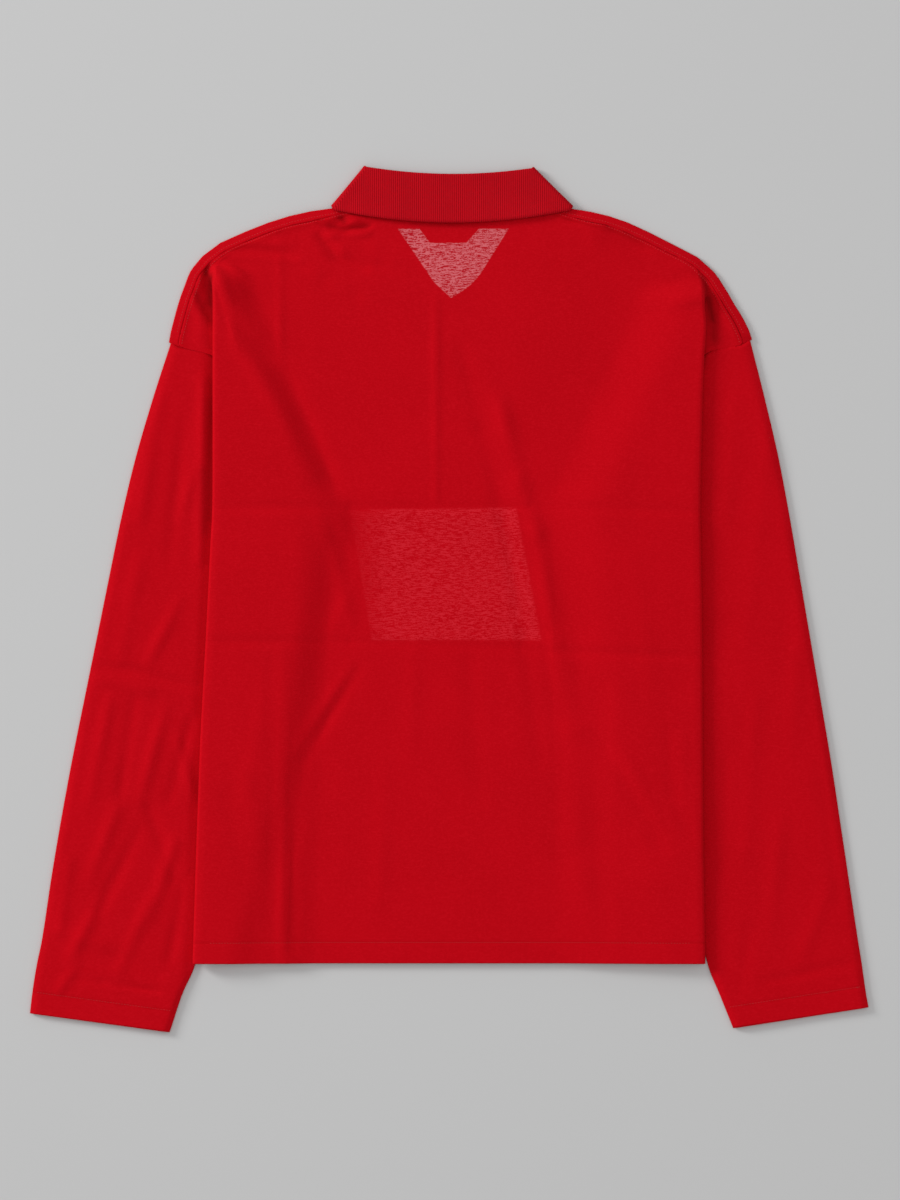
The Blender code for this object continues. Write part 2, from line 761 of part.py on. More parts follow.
def back_lines(left, right):
    """Lines of the back of the collar, which dips between its two ends."""
    fall = [(i / FALL_STEPS, COLLAR_EDGE_DIP, COLLAR_TOP_DIP) for i in range(FALL_STEPS + 1)]
    roll = [(0.0, COLLAR_TOP_DIP, COLLAR_TOP_DIP) for _ in range(TURN_STEPS - 1)]
    stand = [(i / STAND_STEPS, COLLAR_TOP_DIP, NECK_DIP) for i in range(STAND_STEPS + 1)]
    dips = [a * (1 - share) + b * share for share, a, b in fall + roll + stand]
    lines = []
    for i in range(COLLAR_BACK_STEPS + 1):
        t = i / COLLAR_BACK_STEPS
        bow = 4 * t * (1 - t)
        line = [np.array(a) * (1 - t) + np.array(b) * t for a, b in zip(left, right)]
        lines.append([(p[0], p[1] - bow * dip, p[2]) for p, dip in zip(line, dips)])
    return lines


def build_collar():
    """Rib collar: one strip, rolled over at the back and round the neck to two front leaves."""
    leaf_z = RIB_THICK / 2
    front_z = leaf_z + ROLL_STEP
    back_z = front_z + PITCH
    fall_z = back_z + ROLL_STEP
    mid_z = (front_z + back_z) / 2
    north = np.array((0.0, 1.0))
    leaf = {}
    wrap = {}
    top = {}
    for side in (LEFT, RIGHT):
        leaf[side] = leaf_lines(side, leaf_z, front_z)
        top[side] = collar_line(COLLAR_SIDE[side], side, fall_z, back_z, north)
        wrap[side] = collar_wrap(side, top[side], leaf[side][0], mid_z)
    lines = leaf[LEFT][::-1] + wrap[LEFT][::-1]
    lines += back_lines(top[LEFT], top[RIGHT])
    lines += wrap[RIGHT] + leaf[RIGHT]
    grid = [list(column) for column in zip(*lines)]
    normals = surface_normals(grid[::-1])[::-1]
    return build_wall("collar", grid, normals, RIB, thick=RIB_THICK)


def build_board(name, corners, z_top, thick, look):
    """Flat piece of cloth with straight edges."""
    bm = bmesh.new()
    top = [bm.verts.new((x * MM, y * MM, z_top * MM)) for x, y in corners]
    low = [bm.verts.new((x * MM, y * MM, (z_top - thick) * MM)) for x, y in corners]
    bm.faces.new(top)
    bm.faces.new(low[::-1])
    for i in range(len(corners)):
        j = (i + 1) % len(corners)
        bm.faces.new([top[i], top[j], low[j], low[i]])
    return finish_mesh(name, bm, look)


for old in list(bpy.data.objects):
    bpy.data.objects.remove(old)

build_back()
build_front()
build_sleeve("sleeve_left", LEFT)
build_sleeve("sleeve_right", RIGHT)
build_collar()
under_back = PAIR_MID + LIFT_OVER_LEAF - GAP / 2
build_board("neck_tape", TAPE, under_back, LABEL_THICK, TAPE_LOOK)
build_board("neck_label", LABEL, under_back, LABEL_THICK, LABEL_LOOK)
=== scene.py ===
# %% [markdown]
# # A knitted shirt laid flat, face down
# The real object is a long-sleeved shirt of fine red cotton knit with a rib collar. It lies face
# down on a table, so its back is up. This lesson dresses a plain model of it with finer cloth.
# The plain model could be smoothed with a modifier, but its creases and turned edges would still
# be missing. So each piece of cloth is made again, in the same place and from the same sizes,
# with many more points. The plain model itself is never changed.

# %% Load the plain model
import math
from collections import namedtuple

import bmesh
import bpy
import numpy as np
from mathutils import Matrix, Vector


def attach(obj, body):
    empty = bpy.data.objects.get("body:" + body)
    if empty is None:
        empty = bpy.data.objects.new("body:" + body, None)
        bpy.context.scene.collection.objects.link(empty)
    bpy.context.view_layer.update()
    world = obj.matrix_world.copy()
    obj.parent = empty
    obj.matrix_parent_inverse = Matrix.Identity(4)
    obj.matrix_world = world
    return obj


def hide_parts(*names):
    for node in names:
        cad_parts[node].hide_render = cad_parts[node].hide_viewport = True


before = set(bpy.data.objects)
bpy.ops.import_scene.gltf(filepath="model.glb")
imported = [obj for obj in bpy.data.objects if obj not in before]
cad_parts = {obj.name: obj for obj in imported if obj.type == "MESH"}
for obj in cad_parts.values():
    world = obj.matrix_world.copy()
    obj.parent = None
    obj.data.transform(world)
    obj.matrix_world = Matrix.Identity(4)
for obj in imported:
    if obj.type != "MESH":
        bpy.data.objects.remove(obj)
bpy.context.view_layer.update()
MM = 0.001
print("nodes:", sorted(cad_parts))

# %% [markdown]
# ## Sizes
# The outline could be drawn by hand over the plain model. It comes from tables of sizes instead,
# because the fine cloth then fits the plain model to a fraction of a millimetre.
# All tables are in millimetres. Heights on the table run up from 0, `y` runs from the hem to the
# collar and "out" is the distance from the centre line. One row of the body runs from the centre
# line to the shoulder, to the cap of the shoulder or to the armhole.

# %% Sizes of the cloth and the tables of the body
LEFT = -1
RIGHT = 1
CLOTH = 1.2
GAP = 0.3
PITCH = CLOTH + GAP
PAIR_MID = CLOTH + GAP / 2
PAIR_STEP = 3.3
TURN_RADIUS = PAIR_STEP / 2
TURN_LENGTH = math.pi * TURN_RADIUS
RAMP = {LEFT: 34.0, RIGHT: 60.0}
LEAF_RAMP = 90.0
SHOULDER_INSET = 9.5
ARMHOLE_INSET = 1.6
NECK_INSET = 4.5
PLEAT_SPREAD = 0.40
PLEAT_GROWTH = 25.0
SHORTEST_RETURN = 1.0
CAP_LEAST = 2.0
UNDERARM_Y = 108.0
LIFT_OVER_LEAF = 1.6
SLEEVE_MARGIN = 26.0
RIB_THICK = 1.0
ROLL_STEP = 1.7

Row = namedtuple("Row", "back_mid front_mid left_out left_y right_out right_y")
NECK_ROWS = [
    Row(353.7, 273.2, 89.5, 361.0, 94.5, 361.0),
    Row(333.9, 264.9, 120.8, 357.5, 124.9, 356.9),
    Row(310.0, 256.6, 153.0, 350.5, 152.5, 350.5),
    Row(286.1, 249.3, 183.3, 339.4, 179.1, 339.4),
    Row(262.1, 243.7, 209.1, 328.4, 204.9, 326.5),
    Row(238.2, 238.2, 226.6, 315.5, 227.9, 314.6),
]
CAP_ROWS = [
    Row(227.2, 227.2, 232.1, 309.1, 235.3, 308.1),
    Row(219.8, 219.8, 237.6, 302.2, 242.6, 301.7),
    Row(213.4, 213.4, 240.8, 295.3, 247.7, 295.3),
    Row(206.9, 206.9, 243.1, 288.8, 251.8, 288.8),
    Row(199.6, 199.6, 245.9, 281.5, 256.4, 281.5),
    Row(191.3, 191.3, 248.7, 273.2, 261.0, 273.2),
    Row(178.4, 178.4, 253.3, 256.6, 271.1, 256.6),
    Row(168.3, 168.3, 257.9, 236.4, 278.5, 239.1),
]
ARMHOLE_ROWS = [
    Row(149.0, 149.0, 217.4, 222.6, 238.0, 226.3),
    Row(134.3, 134.3, 196.2, 187.6, 213.2, 189.5),
    Row(120.5, 120.5, 172.3, 146.2, 190.2, 148.1),
    Row(104.8, 104.8, 152.1, 115.9, 170.9, 116.8),
]
LOWER_ROWS = [86.4, 49.6, 8.2, -37.8, -83.8, -134.4, -185.0, -231.0, -277.0, -314.2, -316.1, -334.9]
print("rows to shoulder, cap, armhole:", len(NECK_ROWS), len(CAP_ROWS), len(ARMHOLE_ROWS))

# %% [markdown]
# The shirt is wider than it looks. At both sides a strip of the body is folded under, along the
# lines in `FOLD`, and `SIDE_SEAM` is where the tucked layer ends underneath. A sleeve is a
# flattened tube, so each row of its table has an outer and an inner fold.

# %% Tables of the folds and the sleeves
Edge = namedtuple("Edge", "y out")
FOLD = {
    LEFT: [
        Edge(310.0, 217.4),
        Edge(91.0, 217.4),
        Edge(-22.1, 222.9),
        Edge(-120.6, 228.4),
        Edge(-219.0, 232.1),
        Edge(-334.9, 235.8),
    ],
    RIGHT: [
        Edge(300.8, 231.6),
        Edge(275.0, 234.3),
        Edge(252.0, 236.2),
        Edge(206.0, 233.4),
        Edge(91.0, 230.7),
        Edge(-22.1, 232.5),
        Edge(-219.0, 233.4),
        Edge(-334.9, 235.3),
    ],
}
PLEAT_TOP = {LEFT: 305.4, RIGHT: 292.5}
SIDE_SEAM = {
    LEFT: [
        Edge(107.6, 136.4),
        Edge(-22.1, 143.8),
        Edge(-219.0, 152.1),
        Edge(-334.9, 155.7),
    ],
    RIGHT: [
        Edge(107.6, 153.4),
        Edge(-22.1, 153.4),
        Edge(-219.0, 154.3),
        Edge(-334.9, 156.1),
    ],
}
Across = namedtuple("Across", "outer_out outer_y inner_out inner_y")
SLEEVE = {
    LEFT: [
        Across(257.9, 235.3, 137.3, 103.0),
        Across(274.4, 183.0, 144.7, 70.8),
        Across(290.1, 127.8, 153.0, 35.8),
        Across(302.9, 72.6, 161.3, -1.0),
        Across(314.0, 17.4, 170.5, -42.4),
        Across(325.0, -37.8, 178.7, -83.8),
        Across(336.1, -93.0, 187.9, -125.2),
        Across(347.1, -148.2, 196.2, -166.6),
        Across(357.2, -203.4, 205.4, -208.0),
        Across(366.4, -258.6, 214.6, -254.0),
        Across(374.7, -313.8, 224.7, -300.0),
        Across(379.8, -338.6, 233.9, -337.7),
        Across(383.4, -361.6, 245.0, -362.5),
        Across(385.7, -380.9, 256.9, -398.4),
    ],
    RIGHT: [
        Across(278.5, 236.9, 156.1, 103.0),
        Across(291.8, 183.0, 164.4, 70.8),
        Across(304.3, 127.8, 171.8, 35.8),
        Across(314.4, 72.6, 179.1, -1.0),
        Across(323.6, 17.4, 187.4, -42.4),
        Across(332.8, -37.8, 194.8, -83.8),
        Across(342.0, -93.0, 202.1, -125.2),
        Across(351.2, -148.2, 209.5, -166.6),
        Across(359.5, -203.4, 216.9, -208.0),
        Across(367.7, -258.6, 223.3, -254.0),
        Across(376.0, -313.8, 229.7, -300.0),
        Across(379.7, -336.8, 238.0, -337.7),
        Across(382.9, -359.8, 248.1, -362.5),
        Across(385.7, -375.4, 261.0, -394.7),
    ],
}
print("rows of a sleeve:", len(SLEEVE[LEFT]))

# %% [markdown]
# The real collar is one straight strip of rib, rolled over and sewn to the neck. A station gives
# its roll line, its neck seam and its free edge. Few stations are needed, because a curve is
# passed through them later. The leaves lie under the front panel, so the front panel rises a
# little over `LEAF_AREA`.

# %% Tables of the collar and the neck
Station = namedtuple("Station", "roll_out roll_y neck_out neck_y edge_out edge_y")
COLLAR_SIDE = {
    LEFT: Station(76.3, 395.9, 88.6, 362.6, 104.7, 362.0),
    RIGHT: Station(76.1, 394.6, 93.6, 362.6, 110.1, 361.0),
}
COLLAR_LEAF = [
    Station(54.7, 354.6, 69.1, 339.2, 86.7, 320.3),
    Station(42.1, 332.2, 51.2, 322.4, 71.3, 300.9),
    Station(27.9, 311.4, 33.3, 305.7, 56.5, 280.8),
    Station(13.8, 294.1, 17.1, 290.6, 42.9, 263.1),
    Station(2.5, 281.0, 4.6, 278.9, 32.2, 249.3),
]
COLLAR_TOP_DIP = 6.0
COLLAR_EDGE_DIP = 11.9
NECK_DIP = 7.4
Corner = namedtuple("Corner", "x y")
FALL_CORNER = {LEFT: Corner(106.4, 357.2), RIGHT: Corner(112.0, 357.0)}
LEAF_AREA = [
    Corner(-111.6, 403.8),
    Corner(114.7, 403.8),
    Corner(114.7, 344.9),
    Corner(101.9, 310.0),
    Corner(74.3, 270.4),
    Corner(37.5, 240.1),
    Corner(0.2, 247.4),
    Corner(-36.1, 240.1),
    Corner(-72.9, 270.4),
    Corner(-100.5, 310.0),
    Corner(-111.6, 344.9),
]
LABEL = [
    Corner(-26.5, 337.6),
    Corner(-17.7, 327.0),
    Corner(15.7, 327.0),
    Corner(27.3, 337.6),
]
TAPE = [
    Corner(-47.2, 351.4),
    Corner(-36.1, 339.0),
    Corner(36.5, 339.0),
    Corner(47.6, 351.4),
]
print("stations of a leaf:", len(COLLAR_LEAF))

# %% [markdown]
# ## Places read off the photograph
# Creases and pale places are listed in picture elements, as they were read off the photograph. One
# element stands for `PIXEL` millimetres, and `MIDDLE_X`, `MIDDLE_Y` is the element over the origin.

# %% From the photograph to the table
PIXEL = 0.92
MIDDLE_X = 449.283
MIDDLE_Y = 598.935


def spot(across, down):
    """A place in the photograph as a place on the table, to a tenth of a millimetre."""
    return Corner(round((across - MIDDLE_X) * PIXEL, 1), round((MIDDLE_Y - down) * PIXEL, 1))


print("left corner of the hem:", spot(193, 963))

# %% [markdown]
# ## Small helpers
# Cloth has no sharp steps, so every change in height is eased: `smooth` eases from 0 to 1.
# `polygon_distance` measures how far plan points lie from an outline. The helpers work on whole
# arrays, because a loop over tens of thousands of points would be slow.


# %% Helpers for easing and distances
def smooth(t):
    """Ease from 0 to 1."""
    t = np.clip(t, 0.0, 1.0)
    return t * t * (3 - 2 * t)


def unit(v):
    """Vectors of length one, along the last axis."""
    n = np.linalg.norm(v, axis=-1, keepdims=True)
    return np.where(n > 1e-9, v / np.maximum(n, 1e-9), 0.0)


def table_value(rows, y):
    """Distance from the centre line at a height, read from a table of edges."""
    return np.interp(-np.asarray(y), [-r.y for r in rows], [r.out for r in rows])


def segment_distance(x, y, x1, y1, x2, y2):
    """Distance to a straight piece, and how far along it the nearest point is."""
    dx = x2 - x1
    dy = y2 - y1
    t = np.clip(((x - x1) * dx + (y - y1) * dy) / (dx * dx + dy * dy), 0.0, 1.0)
    return np.hypot(x - x1 - t * dx, y - y1 - t * dy), t


def polygon_distance(x, y, polygon):
    """Distance outside an outline, and 0 inside it."""
    inside = np.zeros(np.shape(x), bool)
    nearest = np.full(np.shape(x), 1e9)
    for (x1, y1), (x2, y2) in zip(polygon, polygon[1:] + polygon[:1]):
        step = (y2 - y1) if abs(y2 - y1) > 1e-9 else 1e-9
        inside ^= ((y1 > y) != (y2 > y)) & (x < (x2 - x1) * (y - y1) / step + x1)
        nearest = np.minimum(nearest, segment_distance(x, y, x1, y1, x2, y2)[0])
    return np.where(inside, 0.0, nearest)


print("leaf area test:", float(polygon_distance(np.array(0.0), np.array(350.0), LEAF_AREA)))

# %% [markdown]
# ## Heights of the body
# The real body is two layers of cloth that lie on each other. They could be modelled one by one,
# but then they might cut through each other. Here both share one middle surface and are moved up
# and down from it. It lies higher where a tucked layer or a sleeve is under it. Each share below
# is 1 over such a layer and eases to 0 beside it.


# %% Heights of the middle surface
def turn_angle(side, y):
    """How far the cloth has turned under at the fold: a half turn below the pucker."""
    return math.pi * np.clip((PLEAT_TOP[side] - y) / PLEAT_GROWTH, 0.0, 1.0)


def return_edge(side, y):
    """Inner edge of the tucked layer."""
    above = np.maximum(y, UNDERARM_Y)
    pleat = table_value(FOLD[side], above) - PLEAT_SPREAD * np.maximum(PLEAT_TOP[side] - above, 0.0)
    return np.where(np.asarray(y) < UNDERARM_Y, table_value(SIDE_SEAM[side], y), pleat)


def return_length(side, y):
    """Straight part of the tucked layer."""
    wide = table_value(FOLD[side], y) - return_edge(side, y)
    return np.maximum(SHORTEST_RETURN, wide - 2 * (TURN_RADIUS + PAIR_MID))


def pleat_drop(angle, straight):
    """How far the cloth comes down through both turns of the pleat."""
    safe = np.maximum(angle, 1e-6)
    return np.where(angle < 1e-6, 0.0, 2 * TURN_LENGTH / safe * (1 - np.cos(safe)) + straight * np.sin(safe))


def sleeve_share(side, out, y):
    """1 over the sleeve, easing to 0 inside its inner fold."""
    rows = SLEEVE[side]
    inner = np.interp(-np.asarray(y), [-r.inner_y for r in rows], [r.inner_out for r in rows])
    return 1.0 - smooth((inner - out - SLEEVE_MARGIN) / RAMP[side])


def tucked_share(side, out, y):
    """1 over the tucked layer, easing to 0 inside its edge."""
    return 1.0 - smooth((return_edge(side, y) - out) / RAMP[side])


def body_height(side, out, y):
    """Height of the middle surface of the upper pair of walls."""
    out = np.asarray(out, float)
    y = np.asarray(y, float)
    leaf = LIFT_OVER_LEAF * (1.0 - smooth(polygon_distance(side * out, y, LEAF_AREA) / LEAF_RAMP))
    drop = pleat_drop(turn_angle(side, y), return_length(side, y))
    high = PAIR_MID + leaf + drop * tucked_share(side, out, y)
    low = PAIR_MID + PAIR_STEP * (tucked_share(side, out, y) + sleeve_share(side, out, y))
    return np.where(y >= UNDERARM_Y, high, low)


print("height over the left sleeve: %.1f mm" % body_height(LEFT, 210.0, 0.0))

# %% [markdown]
# ## Rows across the body
# A row is a list of stops from the centre line outwards. Through a fold the stops follow a turn,
# a straight part and, above the underarm, a turn back. A grid of equal squares could not turn so
# tightly, so `Steps` says how fine each part of a row is.

# %% Rows of the middle surface
Steps = namedtuple("Steps", "even ramp back turn cap")


def towards_seam(count):
    """Shares from 0 to 1 that lie closer together near 1, where the stitching is."""
    return 1.0 - (1.0 - np.arange(1, count + 1) / count) ** 1.6


def main_stops(start, straight, ramp, steps):
    """Distances of the main stops from the centre line, out to the start of the fold."""
    inner = start - straight
    even = inner - ramp
    parts = [even * np.arange(1, steps.even + 1) / steps.even]
    parts.append(even + ramp * np.arange(1, steps.ramp + 1) / steps.ramp)
    parts.append(inner + straight * np.arange(1, steps.back + 1) / steps.back)
    return np.concatenate(parts)


def turn_stops(angle, count):
    """Advance and drop along one turn."""
    a = angle * np.arange(1, count + 1) / count
    if angle < 1e-6:
        return TURN_LENGTH * np.arange(1, count + 1) / count, np.zeros(count)
    r = TURN_LENGTH / angle
    return r * np.sin(a), r * (1 - np.cos(a))


def pleat_stops(angle, straight, steps):
    """Advance and drop through the pleat: a turn, a straight part and a turn back."""
    q, drop = turn_stops(angle, steps.turn)
    s = straight * np.arange(1, steps.back + 1) / steps.back
    q2 = q[-1] + s * math.cos(angle)
    drop2 = drop[-1] + s * math.sin(angle)
    back_q = q[-1] - np.append(q[-2::-1], 0.0)
    back_drop = drop[-1] - np.append(drop[-2::-1], 0.0)
    return np.concatenate([q, q2, q2[-1] + back_q]), np.concatenate([drop, drop2, drop2[-1] + back_drop])


print("stops of one turn:", len(turn_stops(math.pi, 4)[0]))

# %% [markdown]
# A row ends at the shoulder seam, on the back, and then at the outline. The seam lies square in
# from the outline, as on the real shirt, where the front is carried over the shoulder.


# %% Ends of the rows
def outline_points(side):
    """Ends of the rows on the shoulder line and the cap, in order from the neck."""
    rows = NECK_ROWS + CAP_ROWS
    if side == LEFT:
        return [(r.left_out, r.left_y) for r in rows]
    return [(r.right_out, r.right_y) for r in rows]


def row_ends(side, index):
    """Points on the shoulder seam and at the outline, square in from the outline."""
    points = outline_points(side)
    before = points[max(index - 1, 0)]
    after = points[min(index + 1, len(points) - 1)]
    run = (after[0] - before[0], after[1] - before[1])
    size = math.hypot(*run)
    nx, ny = run[1] / size, -run[0] / size
    inset = NECK_INSET if index == 0 else SHOULDER_INSET
    out, y = points[index]
    return (out + nx * inset, y + ny * inset), (out + nx * PAIR_MID, y + ny * PAIR_MID)


print("rows that end on the outline:", len(outline_points(LEFT)))

# %% [markdown]
# Rows near the neck run out to the shoulder line. Rows lower down cross the fold, where the cloth
# turns under and back again, and end on the cap of the shoulder or at the armhole. Both kinds
# have the same number of stops, so that they make one grid.


# %% Rows to the shoulder and through the fold
def neck_row(side, index, mid, steps):
    """A row that ends on the shoulder line."""
    seam, edge = row_ends(side, index)
    fold_seam = row_ends(side, len(NECK_ROWS))[0]
    start = float(table_value(FOLD[side], fold_seam[1])) - PAIR_MID - TURN_RADIUS
    rest = 2 * steps.turn + steps.back + steps.cap
    beyond = start + (fold_seam[0] - start) * towards_seam(rest)
    share = np.concatenate([main_stops(start, SHORTEST_RETURN, RAMP[side], steps), beyond]) / fold_seam[0]
    ease = share if index == 0 else smooth(share)
    out = np.append(seam[0] * share, edge[0])
    y = np.append(mid + (seam[1] - mid) * ease, edge[1])
    return np.stack([side * out, y, body_height(side, out, y)], axis=-1)


def fold_row(side, row, index, steps):
    """A row that crosses the pleat and ends on the cap or at the armhole."""
    end_out, end_y = (row.left_out, row.left_y) if side == LEFT else (row.right_out, row.right_y)
    seam = (end_out - ARMHOLE_INSET, end_y)
    edge = (end_out - GAP, end_y)
    if index < len(NECK_ROWS) + len(CAP_ROWS):
        seam, edge = row_ends(side, index)
    fold = float(table_value(FOLD[side], seam[1]))
    reach = max(seam[0], fold)

    def row_y(at):
        return row.back_mid + (seam[1] - row.back_mid) * smooth(at / reach)

    angle = float(turn_angle(side, row_y(fold)))
    straight = float(return_length(side, row_y(fold)))
    start = fold - PAIR_MID - TURN_RADIUS
    top = PAIR_MID + float(pleat_drop(angle, straight))
    main = main_stops(start, straight, RAMP[side], steps)
    z = body_height(side, main, row_y(main))
    z[steps.even + steps.ramp - 1:] = top
    if angle < 0.1:
        rest = 2 * steps.turn + steps.back + steps.cap
        beyond = start + (seam[0] - start) * towards_seam(rest)
        beyond_z = np.full(rest, PAIR_MID)
    else:
        q, drop = pleat_stops(angle, straight, steps)
        squeeze = min(1.0, (seam[0] - start - CAP_LEAST) / q[-1]) if q[-1] > 0 else 1.0
        last = start + q[-1] * squeeze
        cap = last + (seam[0] - last) * towards_seam(steps.cap)
        beyond = np.concatenate([start + q * squeeze, cap])
        beyond_z = np.concatenate([top - drop, np.full(steps.cap, PAIR_MID)])
    out = np.concatenate([main, beyond, [edge[0]]])
    y = row_y(out)
    y[-2:] = (seam[1], edge[1])
    return np.stack([side * out, y, np.concatenate([z, beyond_z, [PAIR_MID]])], axis=-1)


print("stops of the first row:", len(neck_row(LEFT, 0, NECK_ROWS[0].back_mid, Steps(9, 3, 3, 4, 2))))

# %% [markdown]
# Below the armhole the side of the body is tucked under and stays there, so these rows stop
# early. The stops that are missing are marked as not numbers and are left out of the mesh.


# %% Rows below the armhole, and all rows together
def strip_row(side, y, steps):
    """A row below the armhole, whose end is tucked under. Its missing stops are not numbers."""
    start = float(table_value(FOLD[side], y)) - PAIR_MID - TURN_RADIUS
    straight = float(return_length(side, y))
    main = main_stops(start, straight, RAMP[side], steps)
    z = body_height(side, main, np.full(main.shape, y))
    q, drop = turn_stops(math.pi, steps.turn)
    back = start - straight * np.arange(1, steps.back + 1) / steps.back
    back_z = PAIR_MID + PAIR_STEP * sleeve_share(side, back, y)
    out = np.concatenate([main, start + q, back])
    heights = np.concatenate([z, z[-1] - drop, back_z])
    line = np.stack([side * out, np.full(out.shape, y), heights], axis=-1)
    missing = np.full((steps.turn + steps.cap + 1, 3), np.nan)
    return np.concatenate([line, missing])


def middle_rows(front, steps):
    """All rows of the middle surface, left end to right end, from the neck to the hem."""
    rows = []
    for index, row in enumerate(NECK_ROWS):
        mid = row.front_mid if front else row.back_mid
        rows.append([neck_row(side, index, mid, steps) for side in (LEFT, RIGHT)] + [mid])
    for index, row in enumerate(CAP_ROWS + ARMHOLE_ROWS, len(NECK_ROWS)):
        rows.append([fold_row(side, row, index, steps) for side in (LEFT, RIGHT)] + [row.back_mid])
    for y in LOWER_ROWS:
        rows.append([strip_row(side, y, steps) for side in (LEFT, RIGHT)] + [y])
    lines = []
    for left, right, mid in rows:
        centre = np.array([[0.0, mid, float(body_height(LEFT, 0.0, mid))]])
        lines.append(np.concatenate([left[::-1], centre, right]))
    return np.array(lines)


print("rows and stops:", middle_rows(False, Steps(9, 3, 3, 4, 2)).shape)

# %% [markdown]
# ## Finer rows between the rows
# The tables give some thirty rows, and the cloth needs hundreds. A spline could swing past the
# rows and make waves that nobody sewed. `ease_through` passes a smooth curve through them that
# never goes beyond its neighbours.

# %% Curves through rows, and normals
CLOSE_ROWS = 1.2


def ease_through(values, stations, wanted):
    """Smooth curve through values at stations, with no overshoot."""
    values = np.asarray(values, float)
    stations = np.asarray(stations, float)
    shape = (-1,) + (1,) * (values.ndim - 1)
    gaps = np.diff(stations).reshape(shape)
    rate = np.diff(values, axis=0) / gaps
    a = rate[:-1]
    b = rate[1:]
    with np.errstate(divide="ignore", invalid="ignore"):
        middle = np.where(a * b > 0, 2 * a * b / (a + b), 0.0)
    slope = np.concatenate([rate[:1], middle, rate[-1:]])
    i = np.clip(np.searchsorted(stations, wanted, side="right") - 1, 0, len(stations) - 2)
    t = ((wanted - stations[i]) / np.diff(stations)[i]).reshape(shape)
    h = gaps[i]
    v0, v1, s0, s1 = values[i], values[i + 1], slope[i], slope[i + 1]
    near = (1 + 2 * t) * (1 - t) ** 2 * v0 + t * (1 - t) ** 2 * h * s0
    far = t * t * (3 - 2 * t) * v1 + t * t * (t - 1) * h * s1
    return near + far


print("between 0 and 10:", ease_through([0.0, 10.0, 12.0], [0.0, 1.0, 2.0], np.array([0.5])))

# %% [markdown]
# The hem is stitched and needs close rows, and the rest of the body gets an even spacing. The
# rows of the armhole are kept as they are, because the sleeve meets them.


# %% Finer rows of the body
def row_stations(rows, column):
    """Distance of each row from the first one, measured down one column."""
    line = rows[:, column]
    return np.append(0.0, np.cumsum(np.linalg.norm(np.diff(line, axis=0), axis=1)))


def finer_rows(rows, spacing, whole, dense):
    """Rows at an even spacing, closer over the last part. Columns that stop early keep to their own rows."""
    column = rows.shape[1] // 2
    stations = row_stations(rows, column)
    count = max(2, int(round(stations[-1] / spacing)))
    even = np.linspace(0, stations[-1], count + 1)
    close = stations[-1] - np.arange(0.0, dense, CLOSE_ROWS)
    kept = stations[whole - len(ARMHOLE_ROWS) - 1:whole]
    even = even[(even < stations[-1] - dense) & (np.abs(even[:, None] - kept).min(axis=1) > spacing / 3)]
    wanted = np.unique(np.concatenate([even, close, kept]))
    full = ease_through(np.nan_to_num(rows), stations, wanted)
    upper = ease_through(rows[:whole], stations[:whole], np.minimum(wanted, stations[whole - 1]))
    short = np.isnan(rows[-1, :, 0])
    full[:, short] = upper[:, short]
    full[np.ix_(wanted > stations[whole - 1] + 1e-6, short)] = np.nan
    return full


print("rows beside the hem are", CLOSE_ROWS, "mm apart")

# %% [markdown]
# To move a wall away from the middle surface, each point needs to know which way is out.
# `normals_of` takes it from the neighbours along the row and across the rows.


# %% Normals of a grid
def normals_of(grid):
    """Directions square to a grid whose rows run to +X and follow each other towards -Y."""
    along = np.nan_to_num(unit(np.diff(grid, axis=1)))
    down = np.nan_to_num(unit(np.diff(grid, axis=0)))
    across = np.zeros_like(grid)
    across[:, :-1] += along
    across[:, 1:] += along
    lower = np.zeros_like(grid)
    lower[:-1] += down
    lower[1:] += down
    return unit(np.cross(lower, across))


level = np.array([[[0.0, 1.0, 0.0], [1.0, 1.0, 0.0]], [[0.0, 0.0, 0.0], [1.0, 0.0, 0.0]]])
print("a level sheet faces", normals_of(level)[0, 0])

# %% [markdown]
# ## From points to cloth
# A piece of cloth could be built face by face. It is simpler to let `create_grid` make a flat
# grid and then carry its vertices to their places. Points that are not numbers are removed. A
# Solidify modifier gives the cloth its thickness, `WALL`, a little less than that of the plain
# model, so that the layers stay apart.

# %% Cloth from a grid of points
WALL = 1.0


def object_from(bm, name):
    """An object in the scene that holds a finished bmesh."""
    mesh = bpy.data.meshes.new(name)
    bm.to_mesh(mesh)
    bm.free()
    obj = bpy.data.objects.new(name, mesh)
    bpy.context.scene.collection.objects.link(obj)
    return obj


def cloth(name, grid, thickness, attributes=None, closed=False):
    """A sheet through a grid of points in millimetres, with a Solidify modifier."""
    rows, cols = grid.shape[:2]
    bm = bmesh.new()
    bmesh.ops.create_grid(bm, x_segments=cols - 1, y_segments=rows - 1, size=1.0)
    bm.verts.ensure_lookup_table()
    flat = grid.reshape(-1, 3)
    for v, p in zip(bm.verts, flat):
        v.co = p * MM
    layers = {}
    for key, values in (attributes or {}).items():
        layers[key] = bm.verts.layers.float.new(key)
        for v, a in zip(bm.verts, np.asarray(values).reshape(-1)):
            v[layers[key]] = float(a)
    lost = [v for v, p in zip(bm.verts, flat) if np.isnan(p[0])]
    bmesh.ops.delete(bm, geom=lost, context="VERTS")
    if closed:
        bmesh.ops.remove_doubles(bm, verts=bm.verts, dist=0.00002)
    for f in bm.faces:
        f.smooth = True
    obj = object_from(bm, name)
    solid = obj.modifiers.new("thickness", "SOLIDIFY")
    solid.thickness = thickness * MM
    solid.offset = 0.0
    solid.use_rim = True
    return obj


print("wall of the fine cloth:", WALL, "mm")

